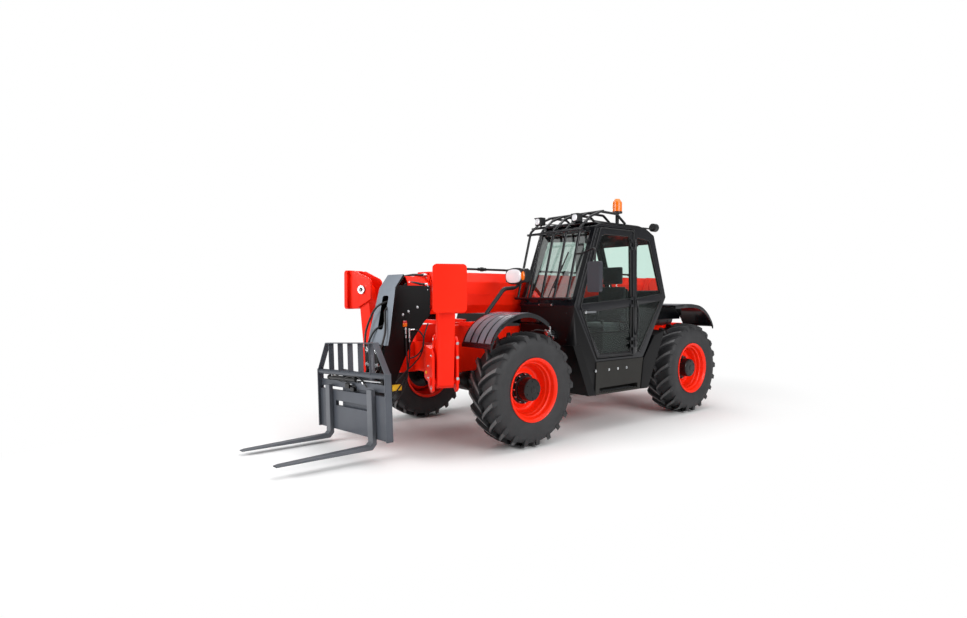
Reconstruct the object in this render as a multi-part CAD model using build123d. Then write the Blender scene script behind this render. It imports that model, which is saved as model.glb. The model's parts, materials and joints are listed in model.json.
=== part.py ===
from build123d import *
import math
import os

os.makedirs("parts", exist_ok=True)

# Telehandler, in millimetres. +X is the machine's left, -Y its front, +Z up; the wheels stand on Z = 0.

# running gear
wheelbase = 2940.0
track = 1960.0
front_axle_y = -715.0
rear_axle_y = front_axle_y + wheelbase
tyre_r = 600.0
tyre_width = 400.0
bead_r = 305.0
rim_wall = 14.0
flange_r = 335.0
flange_thick = 12.0
hub_drum_r = 150.0
hub_cap_r = 120.0
stub_r = 60.0
kingpin_r = 30.0
kingpin_inset = 200.0
knuckle_half = 120.0
axle_tube_r = 95.0
diff_r = 140.0

# clearances
fit = 0.05
seat_gap = 0.3
run_gap = 5.0
panel_gap = 6.0

# chassis
boom_half = 190.0
frame_in = boom_half + 10.0
frame_plate = 35.0
frame_out = frame_in + frame_plate
frame_top = 1300.0
frame_bottom = 450.0
arch_z = 720.0
arch_half = 330.0
frame_front_y = front_axle_y - 575.0
frame_rear_y = rear_axle_y + 705.0
counterweight_half = 640.0
counterweight_depth = 150.0
tow_depth = 75.0
tow_pin_r = 16.0

# boom, with its pivot behind the cab
pivot_y = rear_axle_y + 410.0
pivot_z = 1720.0
pivot_pin_r = 45.0
boom_top = 1840.0
boom_ridge = 1730.0
boom_belly = 1465.0
boom_bottom = 1370.0
boom_flat = 120.0
boom_wall = 22.0
boom_slack = 8.0
boom_front_y = front_axle_y - 600.0
boom_rear_y = pivot_y + 200.0
middle_wall = 18.0
inner_wall = 16.0
pad_half = 90.0
pad_length = 140.0
head_plate = 30.0

# lift cylinder
lift_base_y = rear_axle_y + 160.0
lift_base_z = 800.0
lift_eye_y = rear_axle_y - 1040.0
lift_eye_z = 1310.0
lift_barrel_r = 70.0
lift_rod_r = 40.0

# gooseneck, hitch and carriage
foot_y = front_axle_y - 1250.0
foot_z = 420.0
foot_r = 90.0
foot_half = boom_half + 5.0
foot_pin_r = 40.0
tilt_base_y = foot_y + 425.0
tilt_base_z = 1340.0
tilt_eye_y = foot_y - 40.0
tilt_eye_z = 690.0
tilt_barrel_r = 45.0
tilt_rod_r = 25.0
hitch_lug = 35.0
hitch_back_y = foot_y - 155.0
hitch_plate = 30.0
sway_pin_r = 45.0
sway_z = 300.0
sway_pin_depth = 30.0
carriage_roll = 3.6
carriage_plate = 40.0
carriage_half = 770.0
post_thick = 20.0
backrest_bar = 10.0
fork_x = 475.0
fork_width = 100.0
fork_thick = 45.0
fork_tip_y = foot_y - 1190.0

# stabilisers, each in an upright plane turned a little towards the front
arm_pivot_x = 720.0
arm_pivot_y = front_axle_y - 825.0
arm_pivot_z = 720.0
arm_toe_out = 25.0
arm_lean = 6.0
arm_half = 85.0
arm_side = 74.0
arm_length = 930.0
arm_pin_r = 30.0
shoe_pin_r = 25.0
shoe_reach = 205.0
shoe_half = 163.0
shoe_high = 230.0
ear_plate = 25.0
cheek_plate = 25.0
cheek_gap = 25.0

# cab, on the left of the boom
cab_in = frame_out + 5.0
cab_out = 1130.0
cab_wall = 45.0
cab_front_y = front_axle_y + 632.0
cab_floor_z = 815.0
cab_roof_z = 2400.0
roof_thick = 40.0
glass = 6.0
door_hinge_y = cab_front_y + 1065.0
hinge_pin_r = 8.0
hinge_out = 16.0
hinge_knuckle_r = 14.0
hinge_levels = (1010.0, 1500.0, 2190.0)

# engine bay, on the right of the boom
bay_in = -frame_out - seat_gap
bay_out = -1130.0
bay_floor_z = 430.0
bay_sill_z = 800.0
bay_wall = 22.0
hood_top_z = 1400.0


def prism_x(points, x0, x1, radius=0.0):
    face = Plane(origin=(x0, 0, 0), x_dir=(0, 1, 0), z_dir=(1, 0, 0)) * rounded(points, radius)
    return extrude(face, amount=x1 - x0, dir=(1, 0, 0))


def prism_y(points, y0, y1, radius=0.0):
    face = Plane(origin=(0, y1, 0), x_dir=(1, 0, 0), z_dir=(0, -1, 0)) * rounded(points, radius)
    return extrude(face, amount=y1 - y0, dir=(0, -1, 0))


def rounded(points, radius):
    face = Polygon(*points, align=None)
    if radius > 0:
        face = fillet(face.vertices(), radius)
    return face


def block(x0, x1, y0, y1, z0, z1):
    low = (min(x0, x1), min(y0, y1), min(z0, z1))
    size = (abs(x1 - x0), abs(y1 - y0), abs(z1 - z0))
    return Pos(*low) * Box(*size, align=(Align.MIN, Align.MIN, Align.MIN))


def bar_x(y, z, radius, x0, x1):
    return Pos((x0 + x1) / 2, y, z) * Rot(0, 90, 0) * Cylinder(radius, abs(x1 - x0))


def bar_y(x, z, radius, y0, y1):
    return Pos(x, (y0 + y1) / 2, z) * Rot(90, 0, 0) * Cylinder(radius, abs(y1 - y0))


def bar_z(x, y, radius, z0, z1):
    return Pos(x, y, (z0 + z1) / 2) * Cylinder(radius, abs(z1 - z0))


def bar_between(start, end, radius):
    start = Vector(*start)
    run = Vector(*end) - start
    plane = Plane(origin=start, z_dir=run)
    return extrude(plane * Circle(radius), amount=run.length)


def pipe(points, radius, bend):
    path = FilletPolyline(*points, radius=bend)
    plane = Plane(origin=path @ 0, z_dir=path % 0)
    return sweep(plane * Circle(radius), path=path)


def mirrored(solid):
    return mirror(solid, about=Plane.YZ)


def save(name, *solids):
    pieces = []
    for solid in solids:
        pieces.extend(solid.solids())
    shape = pieces[0] if len(pieces) == 1 else Compound(pieces)
    export_step(shape, f"parts/{name}.step")


# ---- wheels: a rim with its hub on a stub axle, and the tyre between the flanges

wheel_x = track / 2
rim_half = tyre_width / 2 - 10.0


def revolve_x(points, x, y, z):
    """points are (along the axis, radius)"""
    face = Polygon(*points, align=None)
    turned = revolve(face, axis=Axis.X)
    return Pos(x, y, z) * turned


def wheel_solid(side, axle_y):
    inner_r = bead_r - rim_wall
    barrel = [(-rim_half, inner_r), (rim_half, inner_r), (rim_half, flange_r),
              (rim_half - flange_thick, flange_r),
              (rim_half - flange_thick, bead_r), (flange_thick - rim_half, bead_r),
              (flange_thick - rim_half, flange_r), (-rim_half, flange_r)]
    dish = [(62, 0), (62, hub_drum_r), (28, 215), (28, inner_r + 2), (46, inner_r + 2), (46, 225),
            (80, 162), (80, 0)]
    drum_in = knuckle_half / 2 + 20 + run_gap - kingpin_inset
    drum = [(drum_in, 0), (drum_in, hub_drum_r), (66, hub_drum_r), (66, 0)]
    cap = [(70, 0), (70, hub_cap_r + 34), (96, hub_cap_r + 34), (96, hub_cap_r), (150, hub_cap_r - 6),
           (160, hub_cap_r - 20), (160, 0)]
    solid = revolve_x(barrel, 0, 0, 0)
    for profile in (dish, drum, cap):
        solid = solid + revolve_x(profile, 0, 0, 0)
    solid = solid - bar_x(0, 0, stub_r + fit, drum_in - 1, 20)
    solid = Pos(wheel_x, axle_y, tyre_r) * solid
    return solid if side > 0 else mirrored(solid)


def tyre_solid(side, axle_y):
    half = tyre_width / 2
    inner = bead_r + seat_gap
    bead = rim_half - flange_thick - seat_gap
    profile = [(-bead, inner), (bead, inner), (bead, flange_r + 8), (half - 6, flange_r + 45), (half, 450),
               (half - 4, 520), (half - 22, 570), (half - 60, 592), (60, tyre_r), (-60, tyre_r),
               (60 - half, 592),
               (22 - half, 570), (4 - half, 520), (-half, 450), (6 - half, flange_r + 45),
               (-bead, flange_r + 8)]
    return revolve_x(profile, side * wheel_x, axle_y, tyre_r)


def knuckle_solid(side, axle_y):
    x = wheel_x - kingpin_inset
    half = knuckle_half - run_gap
    solid = bar_z(x, axle_y, 75, tyre_r - half, tyre_r + half)
    solid += bar_z(x, axle_y, kingpin_r, tyre_r - knuckle_half - 38, tyre_r + knuckle_half + 38)
    solid += bar_x(axle_y, tyre_r, 90, x, x + 78)
    solid += bar_x(axle_y, tyre_r, stub_r, x, x + kingpin_inset + 10)
    solid += block(x - 30, x + 30, axle_y + 40, axle_y + 150, tyre_r - 20, tyre_r + 20)
    return solid if side > 0 else mirrored(solid)


def axle_solid(axle_y):
    x = wheel_x - kingpin_inset
    web_x = x - 90
    solid = bar_x(axle_y, tyre_r, axle_tube_r, -web_x, web_x)
    solid += bar_x(axle_y, tyre_r, diff_r, -130, 130)
    solid += bar_y(0, tyre_r, 80, axle_y - 190, axle_y + 190)
    for side in (-1, 1):
        yoke = block(web_x - 40, web_x, axle_y - 70, axle_y + 70, tyre_r - knuckle_half - 40,
                     tyre_r + knuckle_half + 40)
        for low, high in ((-knuckle_half - 40, -knuckle_half), (knuckle_half, knuckle_half + 40)):
            yoke += block(web_x - 40, x, axle_y - 60, axle_y + 60, tyre_r + low, tyre_r + high)
            yoke += bar_z(x, axle_y, 60, tyre_r + low, tyre_r + high)
        yoke -= bar_z(x, axle_y, kingpin_r + fit, tyre_r - 200, tyre_r + 200)
        solid += yoke if side > 0 else mirrored(yoke)
        pad_x = side * (frame_in + frame_plate / 2)
        solid += block(pad_x - 30, pad_x + 30, axle_y - 80, axle_y + 80, tyre_r, arch_z)
    return solid


for end, axle_y in (("front", front_axle_y), ("rear", rear_axle_y)):
    save(f"{end}_axle", axle_solid(axle_y))
    for hand, side in (("left", 1), ("right", -1)):
        save(f"{end}_{hand}_knuckle", knuckle_solid(side, axle_y))
        save(f"{end}_{hand}_wheel", wheel_solid(side, axle_y))
        save(f"{end}_{hand}_tyre", tyre_solid(side, axle_y))

shaft_y0 = front_axle_y + 190 + seat_gap
shaft_y1 = rear_axle_y - 190 - seat_gap
mid_y = (front_axle_y + rear_axle_y) / 2 - 400
shaft = bar_y(0, tyre_r, 38, shaft_y0, shaft_y1)
for joint_y in (shaft_y0 + 45, mid_y - 190, mid_y + 190, shaft_y1 - 45):
    shaft += bar_y(0, tyre_r, 60, joint_y - 45, joint_y + 45)
save("drive_shaft", shaft)

# ---- chassis: two long side plates with cross members, a tower at the back for the boom's pivot

front_arch = [(front_axle_y - arch_half, arch_z), (front_axle_y + arch_half, arch_z)]
rear_arch = [(rear_axle_y - arch_half, arch_z), (rear_axle_y + arch_half, arch_z)]
side_outline = [(frame_front_y, arch_z), *front_arch, (front_axle_y + arch_half + 120, frame_bottom),
                (rear_axle_y - arch_half - 120, frame_bottom), *rear_arch,
                (rear_axle_y + arch_half + 90, 540),
                (frame_rear_y, 540), (frame_rear_y, 1150), (pivot_y + 190, pivot_z - 60),
                (pivot_y + 120, pivot_z + 120),
                (pivot_y - 120, pivot_z + 120), (pivot_y - 330, frame_top + 60), (pivot_y - 520, frame_top),
                (frame_front_y + 60, frame_top - 60), (frame_front_y, frame_top - 180)]
plate = prism_x(side_outline, frame_in, frame_out)
plate -= bar_x(pivot_y, pivot_z, pivot_pin_r + fit, frame_in - 1, frame_out + 1)
plate += bar_x(pivot_y, pivot_z, 105, frame_out - 1, frame_out + 20)
fender_bar_x = 709.0 - seat_gap
for y in (front_axle_y - 255, front_axle_y + 150, rear_axle_y - 150, rear_axle_y + 200):
    plate += block(frame_out - 1, fender_bar_x, y - 25, y + 25, 1240, 1285)
cab_mounts = None
for y in (cab_front_y + 460, cab_front_y + 1140):
    mount = block(frame_out - 1, cab_in + 160 - seat_gap, y - 40, y + 40, cab_floor_z - 60,
                  cab_floor_z - seat_gap)
    cab_mounts = mount if cab_mounts is None else cab_mounts + mount
save("frame_left_plate", plate + cab_mounts)
save("frame_right_plate", mirrored(plate))

member_x = frame_in - seat_gap
cross_members = (
    # y0, y1, z0, z1
    (frame_front_y, frame_front_y + 30, arch_z, 1050.0),
    (frame_front_y + 60, front_axle_y - 200, arch_z, arch_z + 30),
    (front_axle_y + arch_half + 150, front_axle_y + arch_half + 180, frame_bottom + 30, 1000.0),
    (front_axle_y + arch_half + 120, rear_axle_y - arch_half - 120, frame_bottom, frame_bottom + 20),
    (mid_y - 140, mid_y + 140, frame_bottom + 30, tyre_r - 60),
    (mid_y - 20, mid_y + 20, tyre_r + 38 + seat_gap, tyre_r + 90),
    (frame_rear_y - 30, frame_rear_y, 540.0, 1150.0),
)
members = []
for y0, y1, z0, z1 in cross_members:
    member = block(-member_x, member_x, y0, y1, z0, z1)
    if z0 < tyre_r < z1 and y0 > front_axle_y and y1 < frame_rear_y - 40:
        member -= bar_y(0, tyre_r, 72, y0 - 1, y1 + 1)
    members.append(member)
members.append(bar_x(pivot_y, pivot_z, pivot_pin_r, -frame_out + 1, frame_out - 1.5))
members.append(bar_x(lift_base_y, lift_base_z, 35, -member_x, member_x))
save("chassis_frame", *members)

# the stabiliser box: horns beside the gooseneck, with two cheek plates across each side's arm
arm_z = Pos(arm_pivot_x, arm_pivot_y, 0) * Rot(0, 0, -arm_toe_out) * Pos(-arm_pivot_x, -arm_pivot_y, 0)
arm_front_y = arm_pivot_y - arm_half
arm_rear_y = arm_pivot_y + arm_half
horn_in = foot_half + hitch_lug + 3 * run_gap
horn_out = horn_in + 40
cheek_front_y = arm_front_y - cheek_gap - cheek_plate
cheek_rear_y = arm_rear_y + cheek_gap
box_in = arm_pivot_x - 560
box_out = arm_pivot_x - arm_side - 25
front_cheek = [(box_in, 700), (box_out - 120, 690), (box_out - 30, 640), (arm_pivot_x - 10, 605),
               (arm_pivot_x + 80, 640), (arm_pivot_x + 88, 760), (arm_pivot_x + 70, 1000),
               (arm_pivot_x - 30, 1045),
               (box_in + 240, 1045), (box_in, 960)]
rear_cheek = [(box_in, 700), (box_out - 120, 690), (box_out - 30, 640), (arm_pivot_x - 10, 605),
              (arm_pivot_x + 66, 640), (arm_pivot_x + 72, 760), (arm_pivot_x + 56, 1120),
              (arm_pivot_x - 10, 1165),
              (box_in + 290, 1100), (box_in, 1060)]
arm_lug = [(box_out - 95, 1040), (box_out - 95, 1130), (box_out - 50, 1175), (box_out + 5, 1175),
       (box_out + 5, 1040)]
span = (cheek_front_y + 5, cheek_rear_y + 5)
beam = prism_y(front_cheek, cheek_front_y, cheek_front_y + cheek_plate)
beam += prism_y(rear_cheek, cheek_rear_y, cheek_rear_y + cheek_plate)
beam += prism_y(arm_lug, cheek_front_y + 45, cheek_front_y + 70, 18)
beam += block(box_in, box_out, *span, 1020, 1045)
beam += block(box_in, box_out, *span, 700, 725)
beam += block(box_out - 25, box_out, *span, 700, 1045)
beam += bar_y(arm_pivot_x, arm_pivot_z, arm_pin_r, cheek_front_y - 15, cheek_rear_y + cheek_plate + 15)
horn = block(horn_in, horn_out, frame_front_y - 180, frame_front_y + 120, 700, 1045)
horn += block(frame_out + seat_gap, horn_in + 1, frame_front_y + 20, frame_front_y + 300, 720, 1045)
horn += block(horn_in, horn_out, frame_front_y + 100, frame_front_y + 300, 720, 1045)
horn += arm_z * beam - block(-horn_out, horn_out - 1, -3000, 0, 0, 3000)
horn -= block(0, horn_in - 0.01, -3000, frame_front_y + 19, 0, 3000)
save("stabiliser_box", horn, mirrored(horn))

weight_y0 = frame_rear_y
weight_y1 = weight_y0 + counterweight_depth
weight_outline = [(-counterweight_half, 620), (-counterweight_half + 120, 520),
                  (counterweight_half - 120, 520),
                  (counterweight_half, 620), (counterweight_half, 1050), (counterweight_half - 180, 1160),
                  (180 - counterweight_half, 1160), (-counterweight_half, 1050)]
weight = prism_y(weight_outline, weight_y0, weight_y1)
weight += block(-90, 90, weight_y1 - 10, weight_y1 + tow_depth, 560, 760)
weight -= block(-100, 100, weight_y1 - 8, weight_y1 + tow_depth + 1, 620, 700)
weight -= bar_z(0, weight_y1 + tow_depth / 2 + 5, tow_pin_r, 500, 800)
save("counterweight", weight)

# ---- fenders: an arched plate with a deep outer rim and an inner flange on the chassis bars

fender_in = 709.0
fender_out = 1180.0
fender_thick = 16.0
fender_rim = 46.0
front_arc = [(front_axle_y - 600, 1068), (front_axle_y - 562, 1162), (front_axle_y - 462, 1282),
             (front_axle_y - 316, 1363),
             (front_axle_y - 165, 1397), (front_axle_y - 32, 1389), (front_axle_y + 82, 1350),
             (front_axle_y + 195, 1284)]
rear_arc = [(rear_axle_y - 430, 1448), (rear_axle_y - 200, 1459), (rear_axle_y, 1457),
            (rear_axle_y + 183, 1425),
            (rear_axle_y + 386, 1301), (rear_axle_y + 499, 1158)]


def band(points, depth, x0, x1):
    """the strip between a smooth line and its copy that much lower"""
    top = Spline(*points)
    low = Spline(*[(y, z - depth) for y, z in points])
    face = make_face([top, Line(top @ 1, low @ 1), low, Line(low @ 0, top @ 0)])
    placed = Plane(origin=(x0, 0, 0), x_dir=(0, 1, 0), z_dir=(1, 0, 0)) * face
    return extrude(placed, amount=x1 - x0, dir=(1, 0, 0))


def fender(points):
    inner = [y for y, z in points if z > 1260]
    web = band(points, 400, fender_in, fender_in + 14)
    web &= block(fender_in, fender_in + 14, inner[0] + 2, inner[-1] - 2, 1240, 1600)
    solid = band(points, fender_thick, fender_in, fender_out - 20)
    solid += web + band(points, fender_rim, fender_out - 20, fender_out)
    return solid


for name, points in (("front_fenders", front_arc), ("rear_fenders", rear_arc)):
    guard = fender(points)
    save(name, guard, mirrored(guard))

# ---- boom: three box sections, one inside the next

outer_section = [(-boom_flat, boom_bottom), (boom_flat, boom_bottom), (boom_half, boom_belly),
                 (boom_half, boom_ridge),
                 (boom_flat, boom_top), (-boom_flat, boom_top), (-boom_half, boom_ridge),
                 (-boom_half, boom_belly)]


def inset_section(depth):
    face = Plane(origin=(0, 0, 0), x_dir=(1, 0, 0), z_dir=(0, -1, 0)) * Polygon(*outer_section, align=None)
    return offset(face, amount=-depth, kind=Kind.INTERSECTION) if depth > 0 else face


def section_tube(outer_depth, wall, y0, y1):
    outside = extrude(Pos(0, y1, 0) * inset_section(outer_depth), amount=y1 - y0, dir=(0, -1, 0))
    inside = extrude(Pos(0, y1 + 1, 0) * inset_section(outer_depth + wall), amount=y1 - y0 + 2,
                     dir=(0, -1, 0))
    return outside - inside


middle_depth = boom_wall + boom_slack
inner_depth = middle_depth + middle_wall + boom_slack
inner_half = boom_half - inner_depth
head_in = inner_half + seat_gap
head_out = head_in + head_plate


def wear_pads(depth, sign, y0):
    """flat pads on a section's face at that depth: sign 1 fills the slack outside it, -1 inside it"""
    thick = boom_slack - seat_gap
    y1 = y0 + pad_length
    side_x = boom_half - depth
    pads = None
    for low, high in ((boom_bottom + depth, boom_bottom + depth - sign * thick),
                      (boom_top - depth, boom_top - depth + sign * thick)):
        pad = block(-pad_half, pad_half, y0, y1, low, high)
        pads = pad if pads is None else pads + pad
    for side in (-1, 1):
        pads += block(side * side_x, side * (side_x + sign * thick), y0, y1, boom_belly + 60,
                      boom_ridge - 60)
    return pads


outer = section_tube(0, boom_wall, boom_front_y, boom_rear_y)
outer += wear_pads(boom_wall, -1, boom_front_y + 10)
for side in (-1, 1):
    outer += bar_x(pivot_y, pivot_z, 110, side * (frame_in - run_gap), side * (boom_half - 60))
    cheek = [(lift_eye_y - 190, boom_bottom + 5), (lift_eye_y - 60, lift_eye_z - 40),
             (lift_eye_y + 60, lift_eye_z - 40),
             (lift_eye_y + 190, boom_bottom + 5)]
    x0 = side * 50
    x1 = side * 80
    outer += prism_x(cheek, min(x0, x1), max(x0, x1))
outer -= bar_x(pivot_y, pivot_z, pivot_pin_r + fit, -300, 300)
save("boom_outer", outer)

middle_front = boom_front_y - 8
middle = section_tube(middle_depth, middle_wall, middle_front, pivot_y - 130)
middle += wear_pads(middle_depth, 1, pivot_y - 140 - pad_length)
middle += wear_pads(middle_depth + middle_wall, -1, middle_front + 10)
save("boom_middle", middle)

inner_front = boom_front_y - 290
inner = section_tube(inner_depth, inner_wall, inner_front, pivot_y - 230)
inner += wear_pads(inner_depth, 1, pivot_y - 240 - pad_length)
save("boom_inner", inner)

# the gooseneck: two side plates and a slotted front plate, down to the foot that carries the hitch
head_rear_y = boom_front_y - 22
head_front_y = front_axle_y - 1060
neck = [(head_front_y, 1660), (front_axle_y - 1038, 1682), (head_rear_y, 1682), (head_rear_y, 1365),
        (front_axle_y - 700, 1290), (front_axle_y - 830, 1120), (front_axle_y - 960, 880),
        (foot_y + 180, 640),
        (foot_y + 95, foot_z + 20), (foot_y + 60, foot_z - 60), (foot_y - 20, foot_z - 85),
        (foot_y - 75, foot_z - 30),
        (foot_y - 70, foot_z + 90), (foot_y + 5, 700), (front_axle_y - 1180, 1055)]
head = prism_x(neck, head_in, head_out)
head += mirrored(head)
front_line = [(head_front_y, 1660), (front_axle_y - 1180, 1055)]


def front_y_at(z):
    (y0, z0), (y1, z1) = front_line
    return y0 + (y1 - y0) * (z - z0) / (z1 - z0)


wedge = [(front_y_at(1660), 1660), (front_y_at(1060), 1060), (front_y_at(1060) + 22, 1060),
         (front_y_at(1660) + 22, 1660)]
front_plate = prism_x(wedge, -220, 220)
trim = [(-168, 1670), (168, 1670), (218, 1190), (218, 1050), (-218, 1050), (-218, 1190)]
front_plate = front_plate & prism_y(trim, foot_y - 100, foot_y + 400)
slot = [(-64, 1575), (64, 1575), (54, 1215), (-54, 1215)]
front_plate -= prism_y(slot, foot_y - 100, foot_y + 400, 30)
head += front_plate
top_slope = [(head_front_y, 1660), (front_axle_y - 958, 1803), (front_axle_y - 940, 1785),
             (head_front_y + 22, 1655)]
head += prism_x(top_slope, -head_out, head_out)
head += block(-head_out, head_out, head_rear_y - 60, head_rear_y - 10, 1365, 1365 + 20)
head += bar_x(foot_y, foot_z, foot_r, -foot_half, foot_half)
head -= bar_x(foot_y, foot_z, foot_pin_r + fit, -foot_half - 1, foot_half + 1)
head += bar_x(tilt_base_y, tilt_base_z, 30, -head_out, head_out)
save("boom_head", head)


def cylinder_pair(base, eye, barrel_r, rod_r, boss_r, width, pin_r, reach, eye_pin_r):
    """a barrel with its base boss on a pin and a rod that leaves it, in the YZ plane at X = 0"""
    start = Vector(0, *base)
    end = Vector(0, *eye)
    length = (end - start).length
    along = (end - start).normalized()
    mouth = start + along * (length * reach)
    foot = start + along * (boss_r * 0.6)
    barrel = bar_between(foot, mouth, barrel_r)
    barrel += bar_x(base[0], base[1], boss_r, -width, width)
    bore_end = mouth + along
    bore = bar_between(start + along * (boss_r + 5), bore_end, rod_r + fit)
    barrel = barrel - bore - bar_x(base[0], base[1], pin_r + fit, -width - 1, width + 1)
    rod_start = start + along * (boss_r + 70)
    rod = bar_between(rod_start, end - along * 20, rod_r)
    rod += bar_x(eye[0], eye[1], eye_pin_r * 1.9, -width + 12, width - 12)
    return barrel, rod


lift_barrel, lift_rod = cylinder_pair((lift_base_y, lift_base_z), (lift_eye_y, lift_eye_z),
                                      lift_barrel_r, lift_rod_r,
                                      80, 57, 35, 0.84, 30)
save("lift_barrel", lift_barrel)
save("lift_rod", lift_rod)
tilt_barrel, tilt_rod = cylinder_pair((tilt_base_y, tilt_base_z), (tilt_eye_y, tilt_eye_z),
                                      tilt_barrel_r, tilt_rod_r,
                                      52, 44, 30, 0.76, 22)
save("tilt_barrel", tilt_barrel)
save("tilt_rod", tilt_rod)

# ---- hitch plate on the gooseneck's foot

hitch_front_y = hitch_back_y - hitch_plate
hitch = block(-300, 300, hitch_front_y, hitch_back_y, 230, 790)
for side in (-1, 1):
    x0 = side * (foot_half + run_gap)
    x1 = side * (foot_half + run_gap + hitch_lug)
    foot_lug = [(hitch_back_y - 1, 335), (hitch_back_y - 1, 620), (foot_y - 30, foot_z + 75),
           (foot_y + 45, foot_z + 60),
           (foot_y + 75, foot_z), (foot_y + 45, foot_z - 60), (foot_y - 30, foot_z - 80)]
    hitch += prism_x(foot_lug, min(x0, x1), max(x0, x1))
    eye_lug = [(hitch_back_y - 1, 600), (hitch_back_y - 1, 780), (tilt_eye_y + 20, tilt_eye_z + 50),
           (tilt_eye_y + 50, tilt_eye_z), (tilt_eye_y + 20, tilt_eye_z - 50)]
    hitch += prism_x(eye_lug, side * 70 if side < 0 else 45, side * 45 if side < 0 else 70)
hitch += bar_x(foot_y, foot_z, foot_pin_r, -foot_half - hitch_lug - 20, foot_half + hitch_lug + 20)
hitch += bar_y(0, sway_z, sway_pin_r, hitch_front_y - run_gap - sway_pin_depth + 2, hitch_front_y)
save("hitch_plate", hitch)

# ---- carriage and forks, rolled a little on the hitch's pin

roll = Pos(0, 0, sway_z) * Rot(0, -carriage_roll, 0) * Pos(0, 0, -sway_z)
back_y = hitch_front_y - run_gap
face_y = back_y - carriage_plate
post_top = 800.0
post_bottom = 165.0
plate_top = 585.0
post_in = carriage_half - post_thick
carriage = bar_x(face_y + 8, post_top - 28, 28, -post_in - 1, post_in + 1)
carriage += block(-post_in - 1, post_in + 1, face_y, back_y, post_bottom, plate_top)
carriage += block(-post_in - 1, post_in + 1, back_y - 22, back_y - 4, 615, 690)
carriage -= block(-370, 370, face_y - 1, back_y + 1, 420, 472)
for side in (-1, 1):
    x0 = side * post_in
    x1 = side * carriage_half
    carriage += block(x0, x1, face_y - 28, back_y, post_bottom, post_top)
    brace = [(side * 538, 1082), (side * 550, 1092), (side * (carriage_half - 6), post_top - 2),
             (side * (carriage_half - 19), post_top - 2)]
    carriage += prism_y(brace, face_y - 22, back_y - 2)
carriage += block(-550, 550, face_y - 22, back_y - 2, 1082, 1092)
backrest_x = (-460.0, -230.0, 0.0, 230.0, 460.0)
for x in backrest_x:
    half = backrest_bar / 2
    carriage += block(x - half, x + half, face_y - 22, back_y - 2, post_top - 20, 1085)
carriage -= bar_y(0, sway_z, sway_pin_r + fit, back_y - sway_pin_depth, back_y + 10)
save("carriage", roll * carriage)

shank_back = face_y - seat_gap
shank_front = shank_back - fork_thick


def fork_solid(side):
    blade_z = 70.0
    profile = [(shank_back, post_bottom - 90 + 45), (shank_back, 640), (shank_front, 640),
               (shank_front, blade_z + fork_thick + 25),
               (shank_front - 25, blade_z + fork_thick), (fork_tip_y + 40, blade_z + 16),
               (fork_tip_y, blade_z + 8), (fork_tip_y, blade_z),
               (shank_back - 45, blade_z)]
    solid = prism_x(profile, side * fork_x - fork_width / 2, side * fork_x + fork_width / 2)
    return solid


for hand, side in (("left", 1), ("right", -1)):
    save(f"{hand}_fork", roll * fork_solid(side))

# ---- stabiliser arms and shoes

arm_outline = [(-arm_side, 60), (-arm_side, -40), (-20, -66), (30, -66), (arm_side, -30),
               (arm_side, arm_length - 200), (55, arm_length + 10), (20, arm_length + 55),
               (-30, arm_length + 55),
               (-55, arm_length + 10), (-arm_side, arm_length - 200)]
arm_pivot = Pos(arm_pivot_x, 0, arm_pivot_z)
arm = prism_y(arm_outline, arm_front_y, arm_rear_y)
arm -= bar_y(0, 0, arm_pin_r + fit, arm_front_y - 1, arm_rear_y + 1)
arm -= bar_y(0, arm_length, shoe_pin_r + fit, arm_front_y - 1, arm_rear_y + 1)
arm = arm_z * (arm_pivot * Rot(0, arm_lean, 0) * arm)
save("left_stabiliser_arm", arm)
save("right_stabiliser_arm", mirrored(arm))

shoe_y0 = arm_pivot_y - shoe_half
shoe_y1 = arm_pivot_y + shoe_half
shoe_face = [(shoe_y0, -shoe_high), (shoe_y1, -shoe_high), (shoe_y1, shoe_high), (shoe_y0, shoe_high)]
shoe = prism_x(shoe_face, shoe_reach, shoe_reach + 14, 40)
rim = prism_x(shoe_face, shoe_reach - 26, shoe_reach + 14, 40)
hollow = [(shoe_y0 + 14, 14 - shoe_high), (shoe_y1 - 14, 14 - shoe_high), (shoe_y1 - 14, shoe_high - 14),
          (shoe_y0 + 14, shoe_high - 14)]
shoe += rim - prism_x(hollow, shoe_reach - 30, shoe_reach + 1, 28)
ear = [(shoe_reach + 2, -215), (shoe_reach + 2, 215), (105, 224), (-105, 131), (-132, 95), (-132, -110),
       (80, -224)]
for y0 in (arm_front_y - run_gap - ear_plate, arm_rear_y + run_gap):
    shoe += prism_y(ear, y0, y0 + ear_plate)
pin_out = run_gap + ear_plate + 15
shoe += bar_y(0, 0, shoe_pin_r, arm_front_y - pin_out, arm_rear_y + pin_out)
lean = math.radians(arm_lean)
shoe_pin_x = arm_pivot_x + arm_length * math.sin(lean)
shoe_pin_z = arm_pivot_z + arm_length * math.cos(lean)
shoe = arm_z * (Pos(shoe_pin_x, 0, shoe_pin_z) * shoe)
save("left_stabiliser_shoe", shoe)
save("right_stabiliser_shoe", mirrored(shoe))

# ---- cab: a hollow shell cut where its panels meet


def cab_y(depth):
    """a place that many millimetres behind the cab's foremost edge"""
    return cab_front_y + depth


cab_outline = [(cab_y(0), 1456), (cab_y(353), 2371), (cab_y(420), cab_roof_z), (cab_y(1301), cab_roof_z),
               (cab_y(1466), 2323), (cab_y(1729), 1555), (cab_y(1260), cab_floor_z),
               (cab_y(369), cab_floor_z)]
cab_face = Plane.YZ * Polygon(*cab_outline, align=None)
cab_room = offset(cab_face, amount=-cab_wall, kind=Kind.INTERSECTION)
shell = extrude(Pos(cab_in, 0, 0) * cab_face, amount=cab_out - cab_in, dir=(1, 0, 0))
shell -= extrude(Pos(cab_in + cab_wall, 0, 0) * cab_room, amount=cab_out - cab_in - 2 * cab_wall,
                 dir=(1, 0, 0))

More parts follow.
